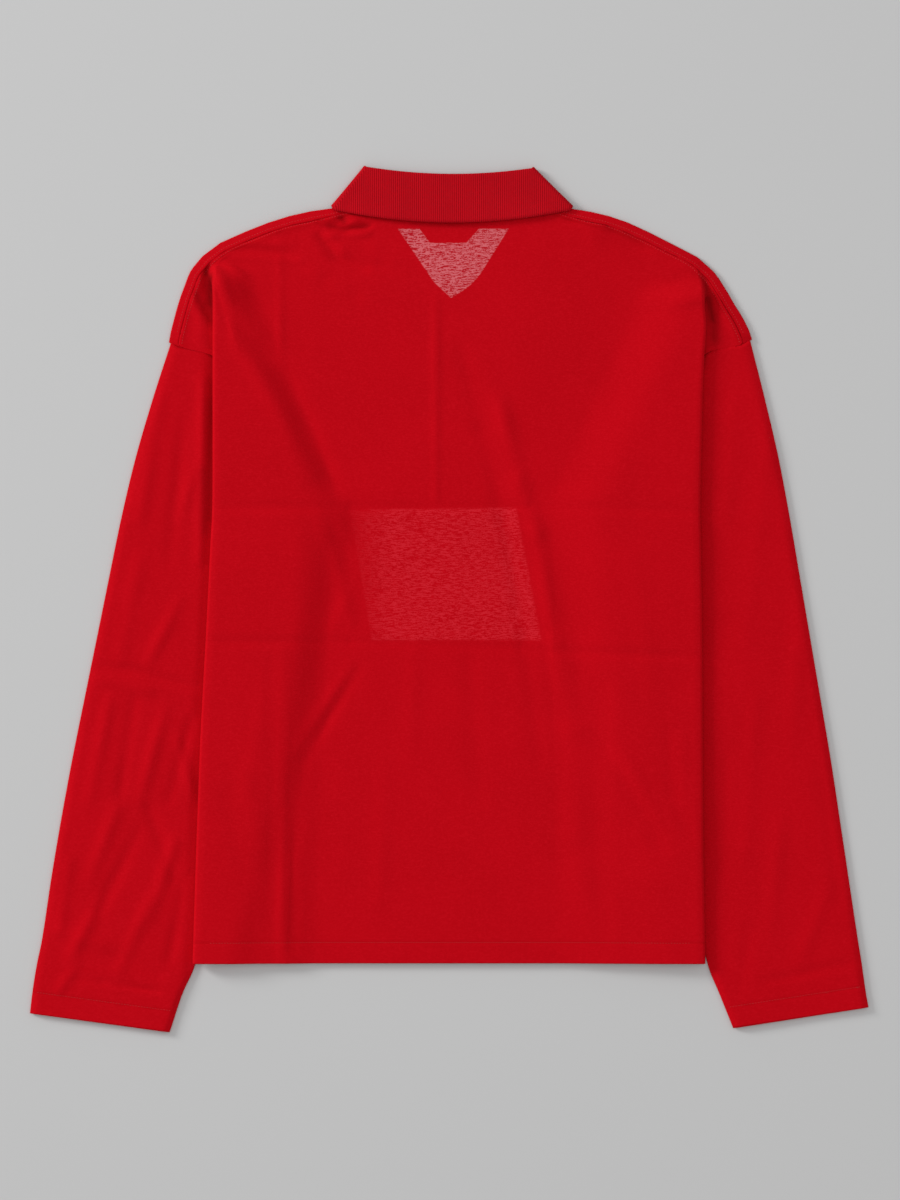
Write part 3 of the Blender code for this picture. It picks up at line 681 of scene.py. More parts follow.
# %% [markdown]
# ## Creases
# The real shirt was folded in a pack and then laid out by hand, so it has soft slanting folds,
# thin straight packing creases and small puckers. A cloth simulation would make creases, but not
# these ones. So each is placed one by one, as a soft ridge or trough.
# Each row is a straight piece of a crease: the x and y of both ends and half its width in
# elements of the photograph, and its height in millimetres. Long creases are several pieces. A
# negative height is a trough.

# %% Creases of the back
BACK_ROWS = [
    (224, 308, 260, 350, 12, -0.9),
    (260, 350, 290, 390, 14, -1.2),
    (290, 390, 325, 465, 14, -1.1),
    (325, 465, 340, 493, 12, -0.7),
    (215, 320, 240, 350, 10, 0.5),
    (240, 350, 278, 405, 11, 0.9),
    (278, 405, 312, 475, 12, 0.9),
    (312, 475, 345, 535, 13, 0.8),
    (228, 272, 240, 318, 16, 1.3),
    (252, 275, 275, 325, 24, 0.8),
    (225, 249, 280, 255, 9, -1.1),
    (280, 255, 325, 280, 10, -1.0),
    (325, 280, 357, 297, 10, -0.7),
    (235, 240, 290, 246, 7, 1.0),
    (300, 262, 350, 290, 8, 0.7),
    (320, 235, 335, 257, 6, -0.9),
    (335, 257, 365, 270, 7, -0.7),
    (345, 245, 375, 260, 6, 0.7),
    (336, 212, 344, 223, 4, -1.8),
    (328, 227, 344, 231, 4, -1.2),
    (344, 231, 369, 227, 4, -1.6),
    (342, 224, 358, 223, 4, 1.6),
    (328, 216, 332, 224, 4, 1.4),
    (330, 236, 368, 234, 5, 1.2),
    (318, 236, 336, 259, 5, -1.2),
    (336, 259, 366, 269, 6, -1.0),
    (326, 232, 346, 256, 5, 1.0),
    (360, 262, 400, 274, 8, -0.6),
    (372, 246, 395, 262, 7, 0.5),
    (492, 385, 505, 430, 13, 0.7),
    (500, 400, 519, 480, 13, 1.3),
    (519, 480, 537, 533, 13, 1.7),
    (537, 533, 555, 640, 14, 1.9),
    (555, 640, 573, 730, 13, 2.0),
    (573, 730, 576, 837, 12, 1.6),
    (576, 837, 583, 901, 11, 1.0),
    (462, 350, 482, 430, 13, -0.7),
    (482, 430, 505, 520, 13, -0.9),
    (505, 520, 525, 640, 13, -0.8),
    (525, 640, 540, 760, 13, -0.7),
    (359, 669, 330, 715, 9, -0.9),
    (330, 715, 303, 760, 9, -1.0),
    (303, 760, 296, 850, 7, -0.9),
    (350, 668, 322, 712, 9, 0.7),
    (322, 712, 296, 752, 9, 0.8),
    (283, 650, 283, 800, 5, 0.9),
    (283, 800, 284, 960, 5, 1.1),
    (275, 660, 275, 960, 6, -0.6),
    (291, 780, 292, 950, 6, -0.8),
    (315, 500, 335, 560, 12, 0.9),
    (335, 560, 350, 620, 12, 0.9),
    (330, 640, 345, 600, 10, 0.5),
    (245, 770, 262, 850, 8, 0.8),
    (228, 790, 245, 880, 8, -0.7),
    (262, 700, 250, 790, 9, 0.6),
    (600, 680, 601, 820, 5, -1.0),
    (601, 820, 601, 955, 5, -0.8),
    (607, 690, 608, 950, 5, 0.5),
    (605, 744, 644, 812, 8, -0.9),
    (644, 812, 660, 850, 8, -0.8),
    (615, 740, 655, 815, 8, 0.8),
    (669, 730, 673, 794, 7, -0.8),
    (673, 794, 691, 841, 7, -0.7),
    (680, 735, 684, 800, 7, 0.6),
    (630, 560, 655, 700, 16, 0.6),
    (436, 300, 436, 400, 4, 0.7),
    (436, 400, 436, 500, 4, 0.6),
    (280, 240, 281, 360, 4, 0.6),
    (415, 640, 410, 760, 14, 0.5),
    (470, 660, 480, 800, 15, -0.5),
    (385, 760, 380, 900, 14, 0.5),
    (197, 262, 197, 290, 7, 2.4),
    (188, 286, 206, 327, 7, 2.6),
    (196, 330, 206, 345, 7, 1.6),
    (207, 262, 211, 322, 6, -3.0),
    (193, 290, 206, 318, 5, -1.0),
    (711, 283, 716, 325, 9, -1.6),
    (722, 300, 735, 330, 7, 0.8),
    (703, 262, 712, 272, 7, 1.4),
    (213, 508, 350, 508, 3.5, -0.8),
    (350, 508, 530, 507, 3.5, -0.7),
    (530, 507, 700, 512, 3.5, -0.7),
    (205, 642, 350, 642, 3.5, -0.7),
    (350, 642, 520, 648, 3.5, -0.6),
    (520, 650, 702, 657, 3.5, -0.7),
    (599, 214, 606, 232, 4, 1.6),
    (606, 214, 613, 230, 4, -1.4),
    (622, 226, 640, 236, 4, 1.6),
    (628, 234, 650, 246, 5, -1.3),
    (566, 212, 574, 222, 4, -1.8),
    (590, 226, 596, 250, 5, 0.7),
    (640, 238, 690, 268, 6, 1.0),
    (610, 240, 650, 252, 6, -0.9),
    (655, 240, 675, 262, 5, -1.0),
    (668, 236, 690, 256, 4, 1.2),
    (680, 258, 700, 280, 5, 1.0),
    (217, 270, 228, 300, 6, 2.6),
    (228, 300, 236, 340, 7, 1.4),
    (222, 262, 250, 280, 5, 1.4),
    (228, 256, 300, 262, 6, 0.9),
]
print("pieces of creases on the back:", len(BACK_ROWS))

# %% [markdown]
# The sleeves have shorter wrinkles, most of them on the left one, and a shallow one beside each
# cuff.

# %% Creases of the sleeves
SLEEVE_ROWS = [
    (204, 380, 200, 560, 8, 1.1),
    (160, 400, 140, 520, 10, 0.7),
    (185, 420, 170, 560, 10, -0.6),
    (140, 560, 120, 660, 12, 0.6),
    (95, 665, 140, 672, 7, -0.9),
    (140, 672, 200, 690, 7, -0.9),
    (100, 680, 150, 690, 8, 0.7),
    (180, 600, 150, 660, 9, 0.8),
    (110, 700, 90, 800, 9, 0.8),
    (135, 700, 120, 800, 8, -0.7),
    (165, 710, 140, 800, 9, 0.9),
    (192, 720, 170, 800, 8, -0.8),
    (178, 740, 195, 800, 7, 0.8),
    (120, 800, 90, 880, 10, 0.8),
    (150, 810, 175, 880, 9, -0.8),
    (140, 830, 100, 910, 9, -0.8),
    (175, 840, 150, 920, 9, 0.9),
    (70, 860, 60, 930, 8, 0.7),
    (100, 900, 70, 960, 9, 0.9),
    (150, 900, 120, 970, 9, 0.8),
    (185, 880, 170, 960, 8, -0.7),
    (60, 930, 110, 950, 8, 0.7),
    (110, 950, 160, 975, 8, -0.6),
    (80, 960, 60, 990, 7, 0.6),
    (195, 470, 180, 520, 8, 0.5),
    (78, 979, 104, 982, 5, -0.5),
    (104, 982, 158, 991, 5, -0.7),
    (196, 290, 186, 320, 6, 0.8),
    (204, 300, 200, 345, 5, -0.7),
    (190, 270, 200, 290, 5, 0.7),
    (770, 430, 745, 640, 14, 0.3),
    (735, 400, 725, 520, 12, 0.25),
    (800, 600, 790, 760, 14, 0.35),
    (755, 700, 745, 860, 12, 0.35),
    (820, 760, 840, 900, 12, -0.35),
    (780, 820, 770, 930, 12, 0.4),
    (725, 760, 720, 880, 9, -0.3),
    (830, 880, 800, 960, 12, 0.4),
    (750, 930, 740, 990, 10, -0.3),
    (720, 620, 790, 640, 9, -0.3),
    (766, 981, 856, 962, 6, -0.5),
]
print("pieces of creases on the sleeves:", len(SLEEVE_ROWS))

# %% [markdown]
# `PUCKER_ROWS` are the short ridges across the shoulder seams, where the thread draws the cloth
# together. The next table lists the places beside the folds that hardly any light reaches, where
# shade is painted into the colour: there the last number is how dark the painted shade is. The
# gaps there are narrower than the grid can follow, so the painted shade is kept as an attribute
# of the mesh.

# %% Puckers and painted shade
PUCKER_ROWS = [
    (601, 207, 606, 228, 4, 1.2),
    (628, 214, 634, 232, 4, 1.0),
    (690, 248, 697, 268, 4, 1.1),
    (700, 256, 711, 271, 4, 0.9),
    (271, 219, 279, 233, 4, 0.8),
    (312, 213, 322, 227, 4, 0.8),
    (338, 206, 346, 222, 4, 0.7),
    (214, 246, 222, 258, 4, 1.2),
]
PAINTED_SHADE_ROWS = [
    (214, 253, 206, 263, 3, 0.55),
    (206, 263, 206, 272, 3.5, 0.8),
    (206, 272, 211, 279, 3.5, 0.9),
    (211, 279, 210, 306, 4.5, 1.0),
    (210, 306, 211, 327, 3, 0.8),
    (197, 294, 207, 316, 4, 0.45),
    (211, 340, 211, 400, 2.5, 0.35),
    (211, 400, 209, 520, 3.5, 0.5),
    (205, 470, 206, 530, 5, 0.3),
    (702, 276, 709, 300, 3.5, 0.7),
    (708, 298, 712, 320, 5, 1.0),
    (712, 320, 714, 340, 6, 0.6),
    (705, 330, 704, 365, 3, 0.35),
    (336, 211, 344, 222, 3, 0.75),
    (328, 226, 344, 230, 2.5, 0.35),
    (344, 230, 369, 226, 2.5, 0.4),
    (565, 210, 571, 215, 3, 0.6),
    (599, 222, 606, 228, 2.5, 0.35),
    (622, 232, 640, 240, 2.5, 0.3),
    (687, 256, 706, 272, 2, 0.35),
    (318, 236, 336, 259, 2.5, 0.2),
]
print("puckers:", len(PUCKER_ROWS), "dark places:", len(PAINTED_SHADE_ROWS))

# %% [markdown]
# `creases_of` turns the rows into millimetres. The narrow creases of the back are widened to what
# the grid of points can carry, and raised a little for it. The heights fade unevenly along each
# piece, so that no two creases look alike.

# %% Creases in millimetres
Crease = namedtuple("Crease", "x1 y1 x2 y2 half height")
LEAST_HALF = 5.5
NARROW = 7.0
NARROW_GAIN = 1.2
SLEEVE_GAIN = 1.6
BASE_LIFT = 1.5
CREASE_SCALE = 1.35


def creases_of(rows, least_half=0.0, narrow_gain=1.0, gain=1.0):
    """Rows read off the photograph, as creases in millimetres."""
    creases = []
    for x1, y1, x2, y2, half, height in rows:
        more = narrow_gain if half < NARROW else 1.0
        wide = round(max(half, least_half) * PIXEL, 1)
        creases.append(Crease(*spot(x1, y1), *spot(x2, y2), wide, round(height * gain * more, 2)))
    return creases


CREASES = creases_of(BACK_ROWS, LEAST_HALF, NARROW_GAIN)
SLEEVE_CREASES = creases_of(SLEEVE_ROWS, gain=SLEEVE_GAIN)
PUCKERS = creases_of(PUCKER_ROWS)
PAINTED_SHADE_LINES = creases_of(PAINTED_SHADE_ROWS)
print("creases:", len(CREASES), "on the sleeves:", len(SLEEVE_CREASES), "puckers:", len(PUCKERS))


def crease_height(x, y, creases, seed=0.0):
    """Sum of the creases at plan points."""
    total = np.zeros(np.shape(x))
    for i, c in enumerate(creases):
        d, t = segment_distance(x, y, c.x1, c.y1, c.x2, c.y2)
        along = 0.78 + 0.22 * np.sin(t * 5.1 + i * 2.3 + seed)
        ends = 1 - 0.35 * np.abs(2 * t - 1) ** 4
        total += c.height * along * ends * np.exp(-((d / c.half) ** 2) * 2.2)
    return total


def painted_shade_share(x, y):
    """Painted shade beside the folds, where little light reaches: 0 is none, 1 is darkest."""
    total = np.zeros(np.shape(x))
    for c in PAINTED_SHADE_LINES:
        d = segment_distance(x, y, c.x1, c.y1, c.x2, c.y2)[0]
        total = np.maximum(total, c.height * np.exp(-((d / c.half) ** 2)))
    return total


def soft_waves(x, y, size, seed):
    """Slow uneven waves made from a few sines, about one high."""
    a = np.sin(x / size + 1.7 * np.sin(y / (1.9 * size) + seed) + seed)
    b = np.sin(y / (1.3 * size) + 1.3 * np.sin(x / (1.6 * size) - seed) + 2.1 * seed)
    c = np.sin((x + y) / (0.7 * size) + 2.0 * np.sin((x - y) / (2.3 * size)) + 3.7 * seed)
    return (a + b + 0.5 * c) / 2.5


# %% [markdown]
# ## The back panel
# The back panel is the large piece that shows. It is the upper wall: the middle surface, moved
# out by half the pitch of the layers. Creases lift it only where it shows, so the tucked parts
# stay flat and don't cut through their neighbours. `fold_weights` works out where that is.

# %% Back panel
HEM_STITCH = 19.5
SHOULDER_STITCH = 3.0
SEAM_BULK = 1.4
HEM_Y = LOWER_ROWS[-1]
HEM_DENSE = 24.0
BACK_SPACING = 3.5
SEAM_DRAW = 0.8
BACK_STEPS = Steps(58, 7, 12, 6, 11)
UNDER_COLLAR = [(-107, 360), (0, 349), (107, 360), (107, 400), (-107, 400)]
WHOLE = len(NECK_ROWS) + len(CAP_ROWS) + len(ARMHOLE_ROWS)


def groove(distance, half, depth):
    """A narrow groove where a distance is near zero."""
    return -depth * np.exp(-((distance / half) ** 2))


def fold_weights(grid, steps):
    """Shares of the creases, none on tucked parts, and of the painted shade, none above a fold."""
    centre = grid.shape[1] // 2
    main = steps.even + steps.ramp + steps.back
    cap_start = main + 2 * steps.turn + steps.back
    weight = np.ones(grid.shape[:2])
    below = np.ones(grid.shape[:2])
    for side in (LEFT, RIGHT):
        columns = centre + side * np.arange(1, centre + 1)
        stop = np.arange(1, centre + 1)
        turned = smooth(turn_angle(side, grid[:, centre + side * main, 1]) / (0.5 * math.pi))[:, None]
        bend = 0.5 + 0.5 * np.cos(math.pi * np.clip((stop - main) / steps.turn, 0.0, 1.0))
        near = np.where(stop <= cap_start, bend, smooth((stop - cap_start) / 1.6))
        weight[:, columns] = 1 - turned * (1 - near)
        below[:, columns] = 1 - turned * (stop < main + steps.turn // 2)
    return weight, below


print("rows from the neck to the underarm:", WHOLE)

# %% [markdown]
# First come the middle surface and its normals. Beside the armhole the last column but one is
# drawn towards the edge, so that the seam lies close to the sleeve.

# %% Middle of the back panel
back_middle = finer_rows(middle_rows(False, BACK_STEPS), BACK_SPACING, WHOLE, HEM_DENSE)
back_normal = normals_of(back_middle)
armhole_start = int(np.nanargmin(np.abs(back_middle[:, 0, 1] - ARMHOLE_ROWS[0].left_y)))
for edge, seam in ((0, 1), (-1, -2)):
    to_edge = back_middle[armhole_start:, edge] - back_middle[armhole_start:, seam]
    back_middle[armhole_start:, seam] += SEAM_DRAW * to_edge
print("rows and stops of the back:", back_middle.shape[:2])

# %% [markdown]
# Then the lift. Creases and slow waves are added up, and stitched lines press the cloth down: one
# along the hem, where the edge is turned, and one beside each shoulder seam. The seam itself is
# thick, because the edges of the cloth lie inside it. Under the collar the cloth stays flat.

# %% Lift of the back panel
bx, by = back_middle[..., 0], back_middle[..., 1]
lift = BASE_LIFT + CREASE_SCALE * crease_height(bx, by, CREASES) + 0.35 * soft_waves(bx, by, 34.0, 0.6)
lift += 0.10 * soft_waves(bx, by, 11.0, 2.2)
from_hem = by - HEM_Y
cap_last = int(np.nanargmin(np.abs(back_middle[:, 1, 1] - CAP_ROWS[-1].left_y)))
from_seam = np.full(bx.shape, 1e9)
for column in (1, -2):
    seam = back_middle[:cap_last + 1, column]
    for a, b in zip(seam, seam[1:]):
        from_seam = np.minimum(from_seam, segment_distance(bx, by, a[0], a[1], b[0], b[1])[0])
# Painted shade along the stitched lines of the hem and beside the shoulder seams, where the stitches press a
# groove.
stitch_shade = sum(np.exp(-((d / 0.9) ** 2)) for d in (from_hem - HEM_STITCH, from_seam - SHOULDER_STITCH))
lift += groove(from_hem - HEM_STITCH, 1.6, 0.16)
lift += groove(from_seam - SHOULDER_STITCH, 1.2, 0.4)
seam_fade = smooth(from_seam / 4.0)
lift = lift * (0.25 + 0.75 * seam_fade) + SEAM_BULK * (1 - smooth(from_seam / 7.0))
lift += 0.15 * smooth((HEM_STITCH - from_hem) / 3.0)
fade_neck = smooth((polygon_distance(bx, by, UNDER_COLLAR) - 0.5) / 7.0)
over_fold, under_fold = fold_weights(back_middle, BACK_STEPS)
lift += CREASE_SCALE * crease_height(bx, by, PUCKERS)
lift = np.maximum(lift * fade_neck, 0.0) * over_fold
# Painted shade beside the folds, where little light reaches, kept as an attribute that darkens the colour.
painted_shade = painted_shade_share(bx, by) * under_fold
print("highest lift: %.2f mm" % np.nanmax(lift))

# %% [markdown]
# Last, the points become a mesh. The lift is added straight up, and no point may sink below the
# level at which the upper wall lies flat.

# %% Mesh of the back panel
back_grid = back_middle + back_normal * PITCH / 2
back_grid[..., 2] += lift
back_grid = back_grid[:, 1:-1]
back_grid[..., 2] = np.maximum(back_grid[..., 2], PAIR_MID + PITCH / 2)
back = cloth("back_panel_cloth", back_grid, WALL, {"stitch_shade": stitch_shade[:, 1:-1], "painted_shade": painted_shade[:, 1:-1]})
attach(back, "root")
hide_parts("back_panel")
print("back points:", len(back.data.vertices))

# %% [markdown]
# ## The front panel
# The front panel lies underneath and shows only as a narrow strip beside each shoulder seam: it
# is carried round the shoulder's edge and lies on the back, up to the seam. A separate strip
# would leave a gap at the edge, so the strip belongs to the same grid. The rest of the front is
# hidden and stays plain.

# %% Front panel
FRONT_STEPS = Steps(24, 4, 8, 6, 5)
FRONT_SPACING = 5.0
WRAP_STOPS = 8


def wrap(edge, seam, normal, count):
    """Points round the shoulder edge and along the strip on the back."""
    outward = unit(edge - seam)
    parts = []
    for i in range(1, count + 1):
        a = math.pi * i / count
        parts.append(edge + (-normal * math.cos(a) + outward * math.sin(a)) * PITCH / 2)
    for share in (0.3, 0.6, 0.8, 1.0):
        point = edge + (seam + outward * 0.25 - edge) * share
        pucker = CREASE_SCALE * crease_height(point[:, 0], point[:, 1], PUCKERS)[:, None]
        parts.append(point + normal * (PITCH / 2 + (SEAM_BULK + pucker) * share))
    return np.stack(parts, axis=1)


front_middle = finer_rows(middle_rows(True, FRONT_STEPS), FRONT_SPACING, WHOLE, 0.0)
front_normal = normals_of(front_middle)
front_grid = front_middle - front_normal * PITCH / 2
wrap_last = int(np.nanargmin(np.abs(front_middle[:, 0, 1] - CAP_ROWS[-1].left_y)))
taper_last = int(np.nanargmin(np.abs(front_middle[:, 0, 1] - ARMHOLE_ROWS[0].left_y)))
left_wrap = wrap(front_middle[:, 0], front_middle[:, 1], front_normal[:, 0], WRAP_STOPS)
right_wrap = wrap(front_middle[:, -1], front_middle[:, -2], front_normal[:, -1], WRAP_STOPS)
left_wrap[taper_last + 1:] = np.nan
right_wrap[taper_last + 1:] = np.nan
front_grid = np.concatenate([left_wrap[:, ::-1], front_grid, right_wrap], axis=1)
front_grid[..., 2] = np.maximum(front_grid[..., 2], PAIR_MID - PITCH / 2)
front = cloth("front_panel_cloth", front_grid, WALL)
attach(front, "root")
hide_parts("front_panel")
print("front points:", len(front.data.vertices), "rows round the shoulder:", wrap_last + 1)

# %% [markdown]
# ## The sleeves
# A real sleeve is a tube, sewn along its length and pressed flat. Two flat sheets would leave its
# edges open, so each row here runs round the whole tube: over the top, round the inner fold, back
# underneath and round the outer fold. The head of the sleeve follows the armhole. A negative
# `HEAD_GAP` tucks it a little under the body.

# %% Sleeves
CUFF_STITCH = 20.0
CUFF_DENSE = 24.0
HEAD_GAP = -0.8
SLEEVE_SPACING = 3.6
SLEEVE_STEPS = 46
SLEEVE_TURN = 6


def armhole_curve(side):
    """Plan points of the armhole from the shoulder's edge to the underarm, moved out by `HEAD_GAP`."""
    column = 0 if side == LEFT else -1
    last = int(np.max(np.flatnonzero(~np.isnan(front_middle[:, column, 0]))))
    line = front_middle[wrap_last:last + 1, column, :2].copy()
    line[:, 0] *= side
    run = unit(np.gradient(line, axis=0))
    away = np.stack([-run[:, 1], run[:, 0]], axis=-1)
    away[away @ np.array((1.0, -1.0)) < 0] *= -1
    return line + away * HEAD_GAP


def head_shift(side, share, rows):
    """Plan shift of the sleeve head at each share, from the straight line to the armhole."""
    curve = armhole_curve(side)
    at = np.append(0.0, np.cumsum(np.linalg.norm(np.diff(curve, axis=0), axis=1)))
    out = np.interp(share * at[-1], at, curve[:, 0])
    y = np.interp(share * at[-1], at, curve[:, 1])
    outer_out, outer_y, inner_out, inner_y = rows[0]
    return out - outer_out - (inner_out - outer_out) * share, y - outer_y - (inner_y - outer_y) * share


def cuff_gap(side, out, y):
    """Distance from the line of the cuff's end."""
    end = SLEEVE[side][-1]
    run = unit(np.array((end.inner_out - end.outer_out, end.inner_y - end.outer_y)))
    return np.abs((out - end.outer_out) * run[1] - (y - end.outer_y) * run[0])


print("armhole points:", len(armhole_curve(LEFT)), len(armhole_curve(RIGHT)))

# %% [markdown]
# The rows are closer at the cuff, where the edge is turned and stitched. Wrinkles lift only the
# upper face, and only where it isn't under the body.


# %% Rows round a sleeve
def sleeve_grid(side):
    """Points of one sleeve, and its attributes: painted shade along the cuff's stitched line and beside the
    folds.
    """
    rows = np.array(SLEEVE[side])
    stations = np.append(0.0, np.cumsum(np.hypot(np.diff(rows[:, 0]), np.diff(rows[:, 1]))))
    even = np.arange(0.0, stations[-1] - CUFF_DENSE, SLEEVE_SPACING)
    wanted = np.concatenate([even, stations[-1] - np.arange(0.0, CUFF_DENSE, CLOSE_ROWS)[::-1]])
    fine = ease_through(rows, stations, wanted)
    part = ease_through(np.arange(len(rows), dtype=float), stations, wanted)
    fade = (1 - part / (len(rows) - 1)) ** 3
    lines = []
    stitch_shade = []
    painted_shade = []
    for (outer_out, outer_y, inner_out, inner_y), f in zip(fine, fade):
        inset = PAIR_MID / (outer_out - inner_out)
        share = np.linspace(inset, 1 - inset, SLEEVE_STEPS)
        shift_out, shift_y = head_shift(side, (share - inset) / (1 - 2 * inset), rows)
        out = outer_out + (inner_out - outer_out) * share + shift_out * f
        y = outer_y + (inner_y - outer_y) * share + shift_y * f
        shows = smooth((out - table_value(FOLD[side], y) - 1.0) / 8.0)
        lift = BASE_LIFT + CREASE_SCALE * crease_height(side * out, y, SLEEVE_CREASES, 1.0)
        lift += 0.45 * soft_waves(side * out, y, 26.0, 1.4 + side)
        to_cuff = cuff_gap(side, out, y)
        lift += groove(to_cuff - CUFF_STITCH, 1.6, 0.25)
        edge = smooth(np.minimum(share - inset, 1 - inset - share) * (outer_out - inner_out) / 4.0)
        lift = np.maximum(lift, 0.0) * shows * edge
        a = math.pi * np.arange(1, SLEEVE_TURN) / SLEEVE_TURN
        r = PITCH / 2
        top = np.stack([out, y, PAIR_MID + r + lift], axis=-1)
        inner_y_of_turn = np.full(a.shape, y[-1])
        outer_y_of_turn = np.full(a.shape, y[0])
        inner = np.stack([out[-1] - r * np.sin(a), inner_y_of_turn, PAIR_MID + r * np.cos(a)], axis=-1)
        under = np.stack([out[::-1], y[::-1], np.full(out.shape, PAIR_MID - r)], axis=-1)
        outer = np.stack([out[0] + r * np.sin(a), outer_y_of_turn, PAIR_MID - r * np.cos(a)], axis=-1)
        line = np.concatenate([top, inner, under, outer, top[:1]])
        line[:, 0] *= side
        lines.append(line)
        # Painted shade along the stitched groove beside the cuff.
        mark = np.exp(-(((to_cuff - CUFF_STITCH) / 0.9) ** 2))
        on_top = np.arange(len(line)) < SLEEVE_STEPS
        stitch_shade.append(np.append(mark, np.zeros(len(line) - SLEEVE_STEPS)))
        # Painted shade on the upper face, beside the body's folds.
        painted_shade.append(np.where(on_top, painted_shade_share(line[:, 0], line[:, 1]), 0.0))
    return np.array(lines), {"stitch_shade": np.array(stitch_shade), "painted_shade": np.array(painted_shade)}


print("points round a sleeve:", len(sleeve_grid(LEFT)[0][0]))

# %% [markdown]
# Both sleeves are made in the same way from their own tables, because on the real shirt they
# don't lie alike.

# %% Left and right sleeve
sleeves = {}
sleeve_points = {}
for side, word in ((LEFT, "left"), (RIGHT, "right")):
    sleeve_points[side], sleeve_marks = sleeve_grid(side)
    sleeve = cloth("sleeve_" + word + "_cloth", sleeve_points[side], WALL, sleeve_marks, closed=True)
    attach(sleeve, "root")
    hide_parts("sleeve_" + word)
    sleeves[side] = sleeve
    print(sleeve.name, "points:", len(sleeve.data.vertices))

# %% [markdown]
# ## The collar
# The rib collar is thicker and stiffer than the jersey. It stands up, rolls over and falls back
# on the shirt. Each of its lines runs from the free edge over the roll to the neck seam.
# Extruding one profile along a path would twist at the corners, so every line is placed by its
# own station.

# %% Lines of the collar
FALL_STEPS = 14
ROLL_STEPS = 8
STAND_STEPS = 6
SIDE_LINES = 8
BACK_LINES = 25
RIB_PITCH = 1.93
COLLAR_SPACING = 1.3
EDGE_RAISE = 4.0
CORNER_RAISE = 1.4


def collar_line(station, side, z_fall, z_stand, way):
    """One line of the collar from its free edge over the roll to the neck seam."""
    edge = np.array((side * station.edge_out, station.edge_y))
    roll = np.array((side * station.roll_out, station.roll_y))
    neck = np.array((side * station.neck_out, station.neck_y))
    line = []
    for i in range(FALL_STEPS + 1):
        line.append([*(edge + (roll - edge) * i / FALL_STEPS), z_fall])
    mid = (z_fall + z_stand) / 2
    for i in range(1, ROLL_STEPS):
        a = math.pi * i / ROLL_STEPS
        line.append([*(roll + way * ROLL_STEP / 2 * math.sin(a)), mid + (z_fall - mid) * math.cos(a)])
    for i in range(STAND_STEPS + 1):
        line.append([*(roll + (neck - roll) * i / STAND_STEPS), z_stand])
    return np.array(line)


def facing_opening(side, a, b):
    """Direction square to the roll between two stations, towards the neck opening."""
    run = unit(np.array((side * (b.roll_out - a.roll_out), b.roll_y - a.roll_y)))
    way = np.array((-run[1], run[0]))
    return -way if way[0] * side > 0 else way


print("points of a line:", FALL_STEPS + ROLL_STEPS + STAND_STEPS + 1)

# %% [markdown]
# Round the side of the neck the collar turns from the back of the shirt to its front. The lines
# go round half a circle that is as high as the gap between their two ends.


# %% Round the side of the neck
def side_wrap(side, top, bottom, mid_z, count=SIDE_LINES):
    """Lines that carry the collar round the side of the neck, from the back to the front."""
    run = unit(top[0, :2] - top[FALL_STEPS, :2])
    outward = np.array((-run[1], run[0]))
    outward = -outward if outward[0] * side < 0 else outward
    lines = []
    for i in range(1, count):
        a = math.pi * i / count
        radius = np.abs(top[:, 2] - mid_z) * (1 - i / count) + np.abs(bottom[:, 2] - mid_z) * i / count
        base = top[:, :2] * (1 - i / count) + bottom[:, :2] * i / count
        plan = base + outward * (radius * math.sin(a))[:, None]
        lines.append(np.column_stack([plan, mid_z + radius * math.cos(a)]))
    return lines


print("lines round a side:", SIDE_LINES - 1)

# %% [markdown]
# Now all lines in order, from the left tip round the back to the right tip. At the back the free
# edge sags, and it stands a little away from the shirt, which gives the fine shadow under it.


# %% All lines of the collar
def collar_lines():
    """All lines of the collar, from the left tip round the back to the right tip."""
    leaf_z = RIB_THICK / 2
    front_z = leaf_z + ROLL_STEP
    back_z = front_z + PITCH
    fall_z = back_z + ROLL_STEP
    mid_z = (front_z + back_z) / 2
    fall = np.linspace(0, 1, FALL_STEPS + 1)
    stand = np.linspace(0, 1, STAND_STEPS + 1)
    parts = {}
    for side in (LEFT, RIGHT):
        stations = [COLLAR_SIDE[side]] + COLLAR_LEAF
        leaf = []
        for i, station in enumerate(stations):
            a, b = stations[min(i, len(stations) - 2)], stations[min(i, len(stations) - 2) + 1]
            leaf.append(collar_line(station, side, leaf_z, front_z, facing_opening(side, a, b)))
        corner = FALL_CORNER[side]
        station = COLLAR_SIDE[side]._replace(edge_out=corner.x, edge_y=corner.y)
        top = collar_line(station, side, fall_z, back_z, np.array((0.0, 1.0)))
        top[:FALL_STEPS + 1, 2] += CORNER_RAISE * (1 - fall) ** 2
        parts[side] = (leaf, side_wrap(side, top, leaf[0], mid_z), top)
    lines = parts[LEFT][0][::-1] + parts[LEFT][1][::-1]
    for t in np.linspace(0, 1, BACK_LINES):
        line = parts[LEFT][2] * (1 - t) + parts[RIGHT][2] * t
        dip = np.concatenate([
            COLLAR_EDGE_DIP * (1 - fall) + COLLAR_TOP_DIP * fall,
            np.full(ROLL_STEPS - 1, COLLAR_TOP_DIP),
            COLLAR_TOP_DIP * (1 - stand) + NECK_DIP * stand,
        ])
        bow = 4 * t * (1 - t)
        line[:, 1] -= bow * dip
        line[:FALL_STEPS + 1, 2] += (EDGE_RAISE - CORNER_RAISE) * smooth(2 * bow) * (1 - fall) ** 2
        lines.append(line)
    return np.array(lines + parts[RIGHT][1] + parts[RIGHT][0])


print("lines of the collar:", len(collar_lines()))

# %% [markdown]
# The ribs are finer than two millimetres. As geometry they would need a grid many times finer, so
# they are left to the material. It only needs to know how far along the collar each point is. On
# the back the ribs run straight up, so x tells that. Beyond the sides the distance along the
# collar goes on from there.

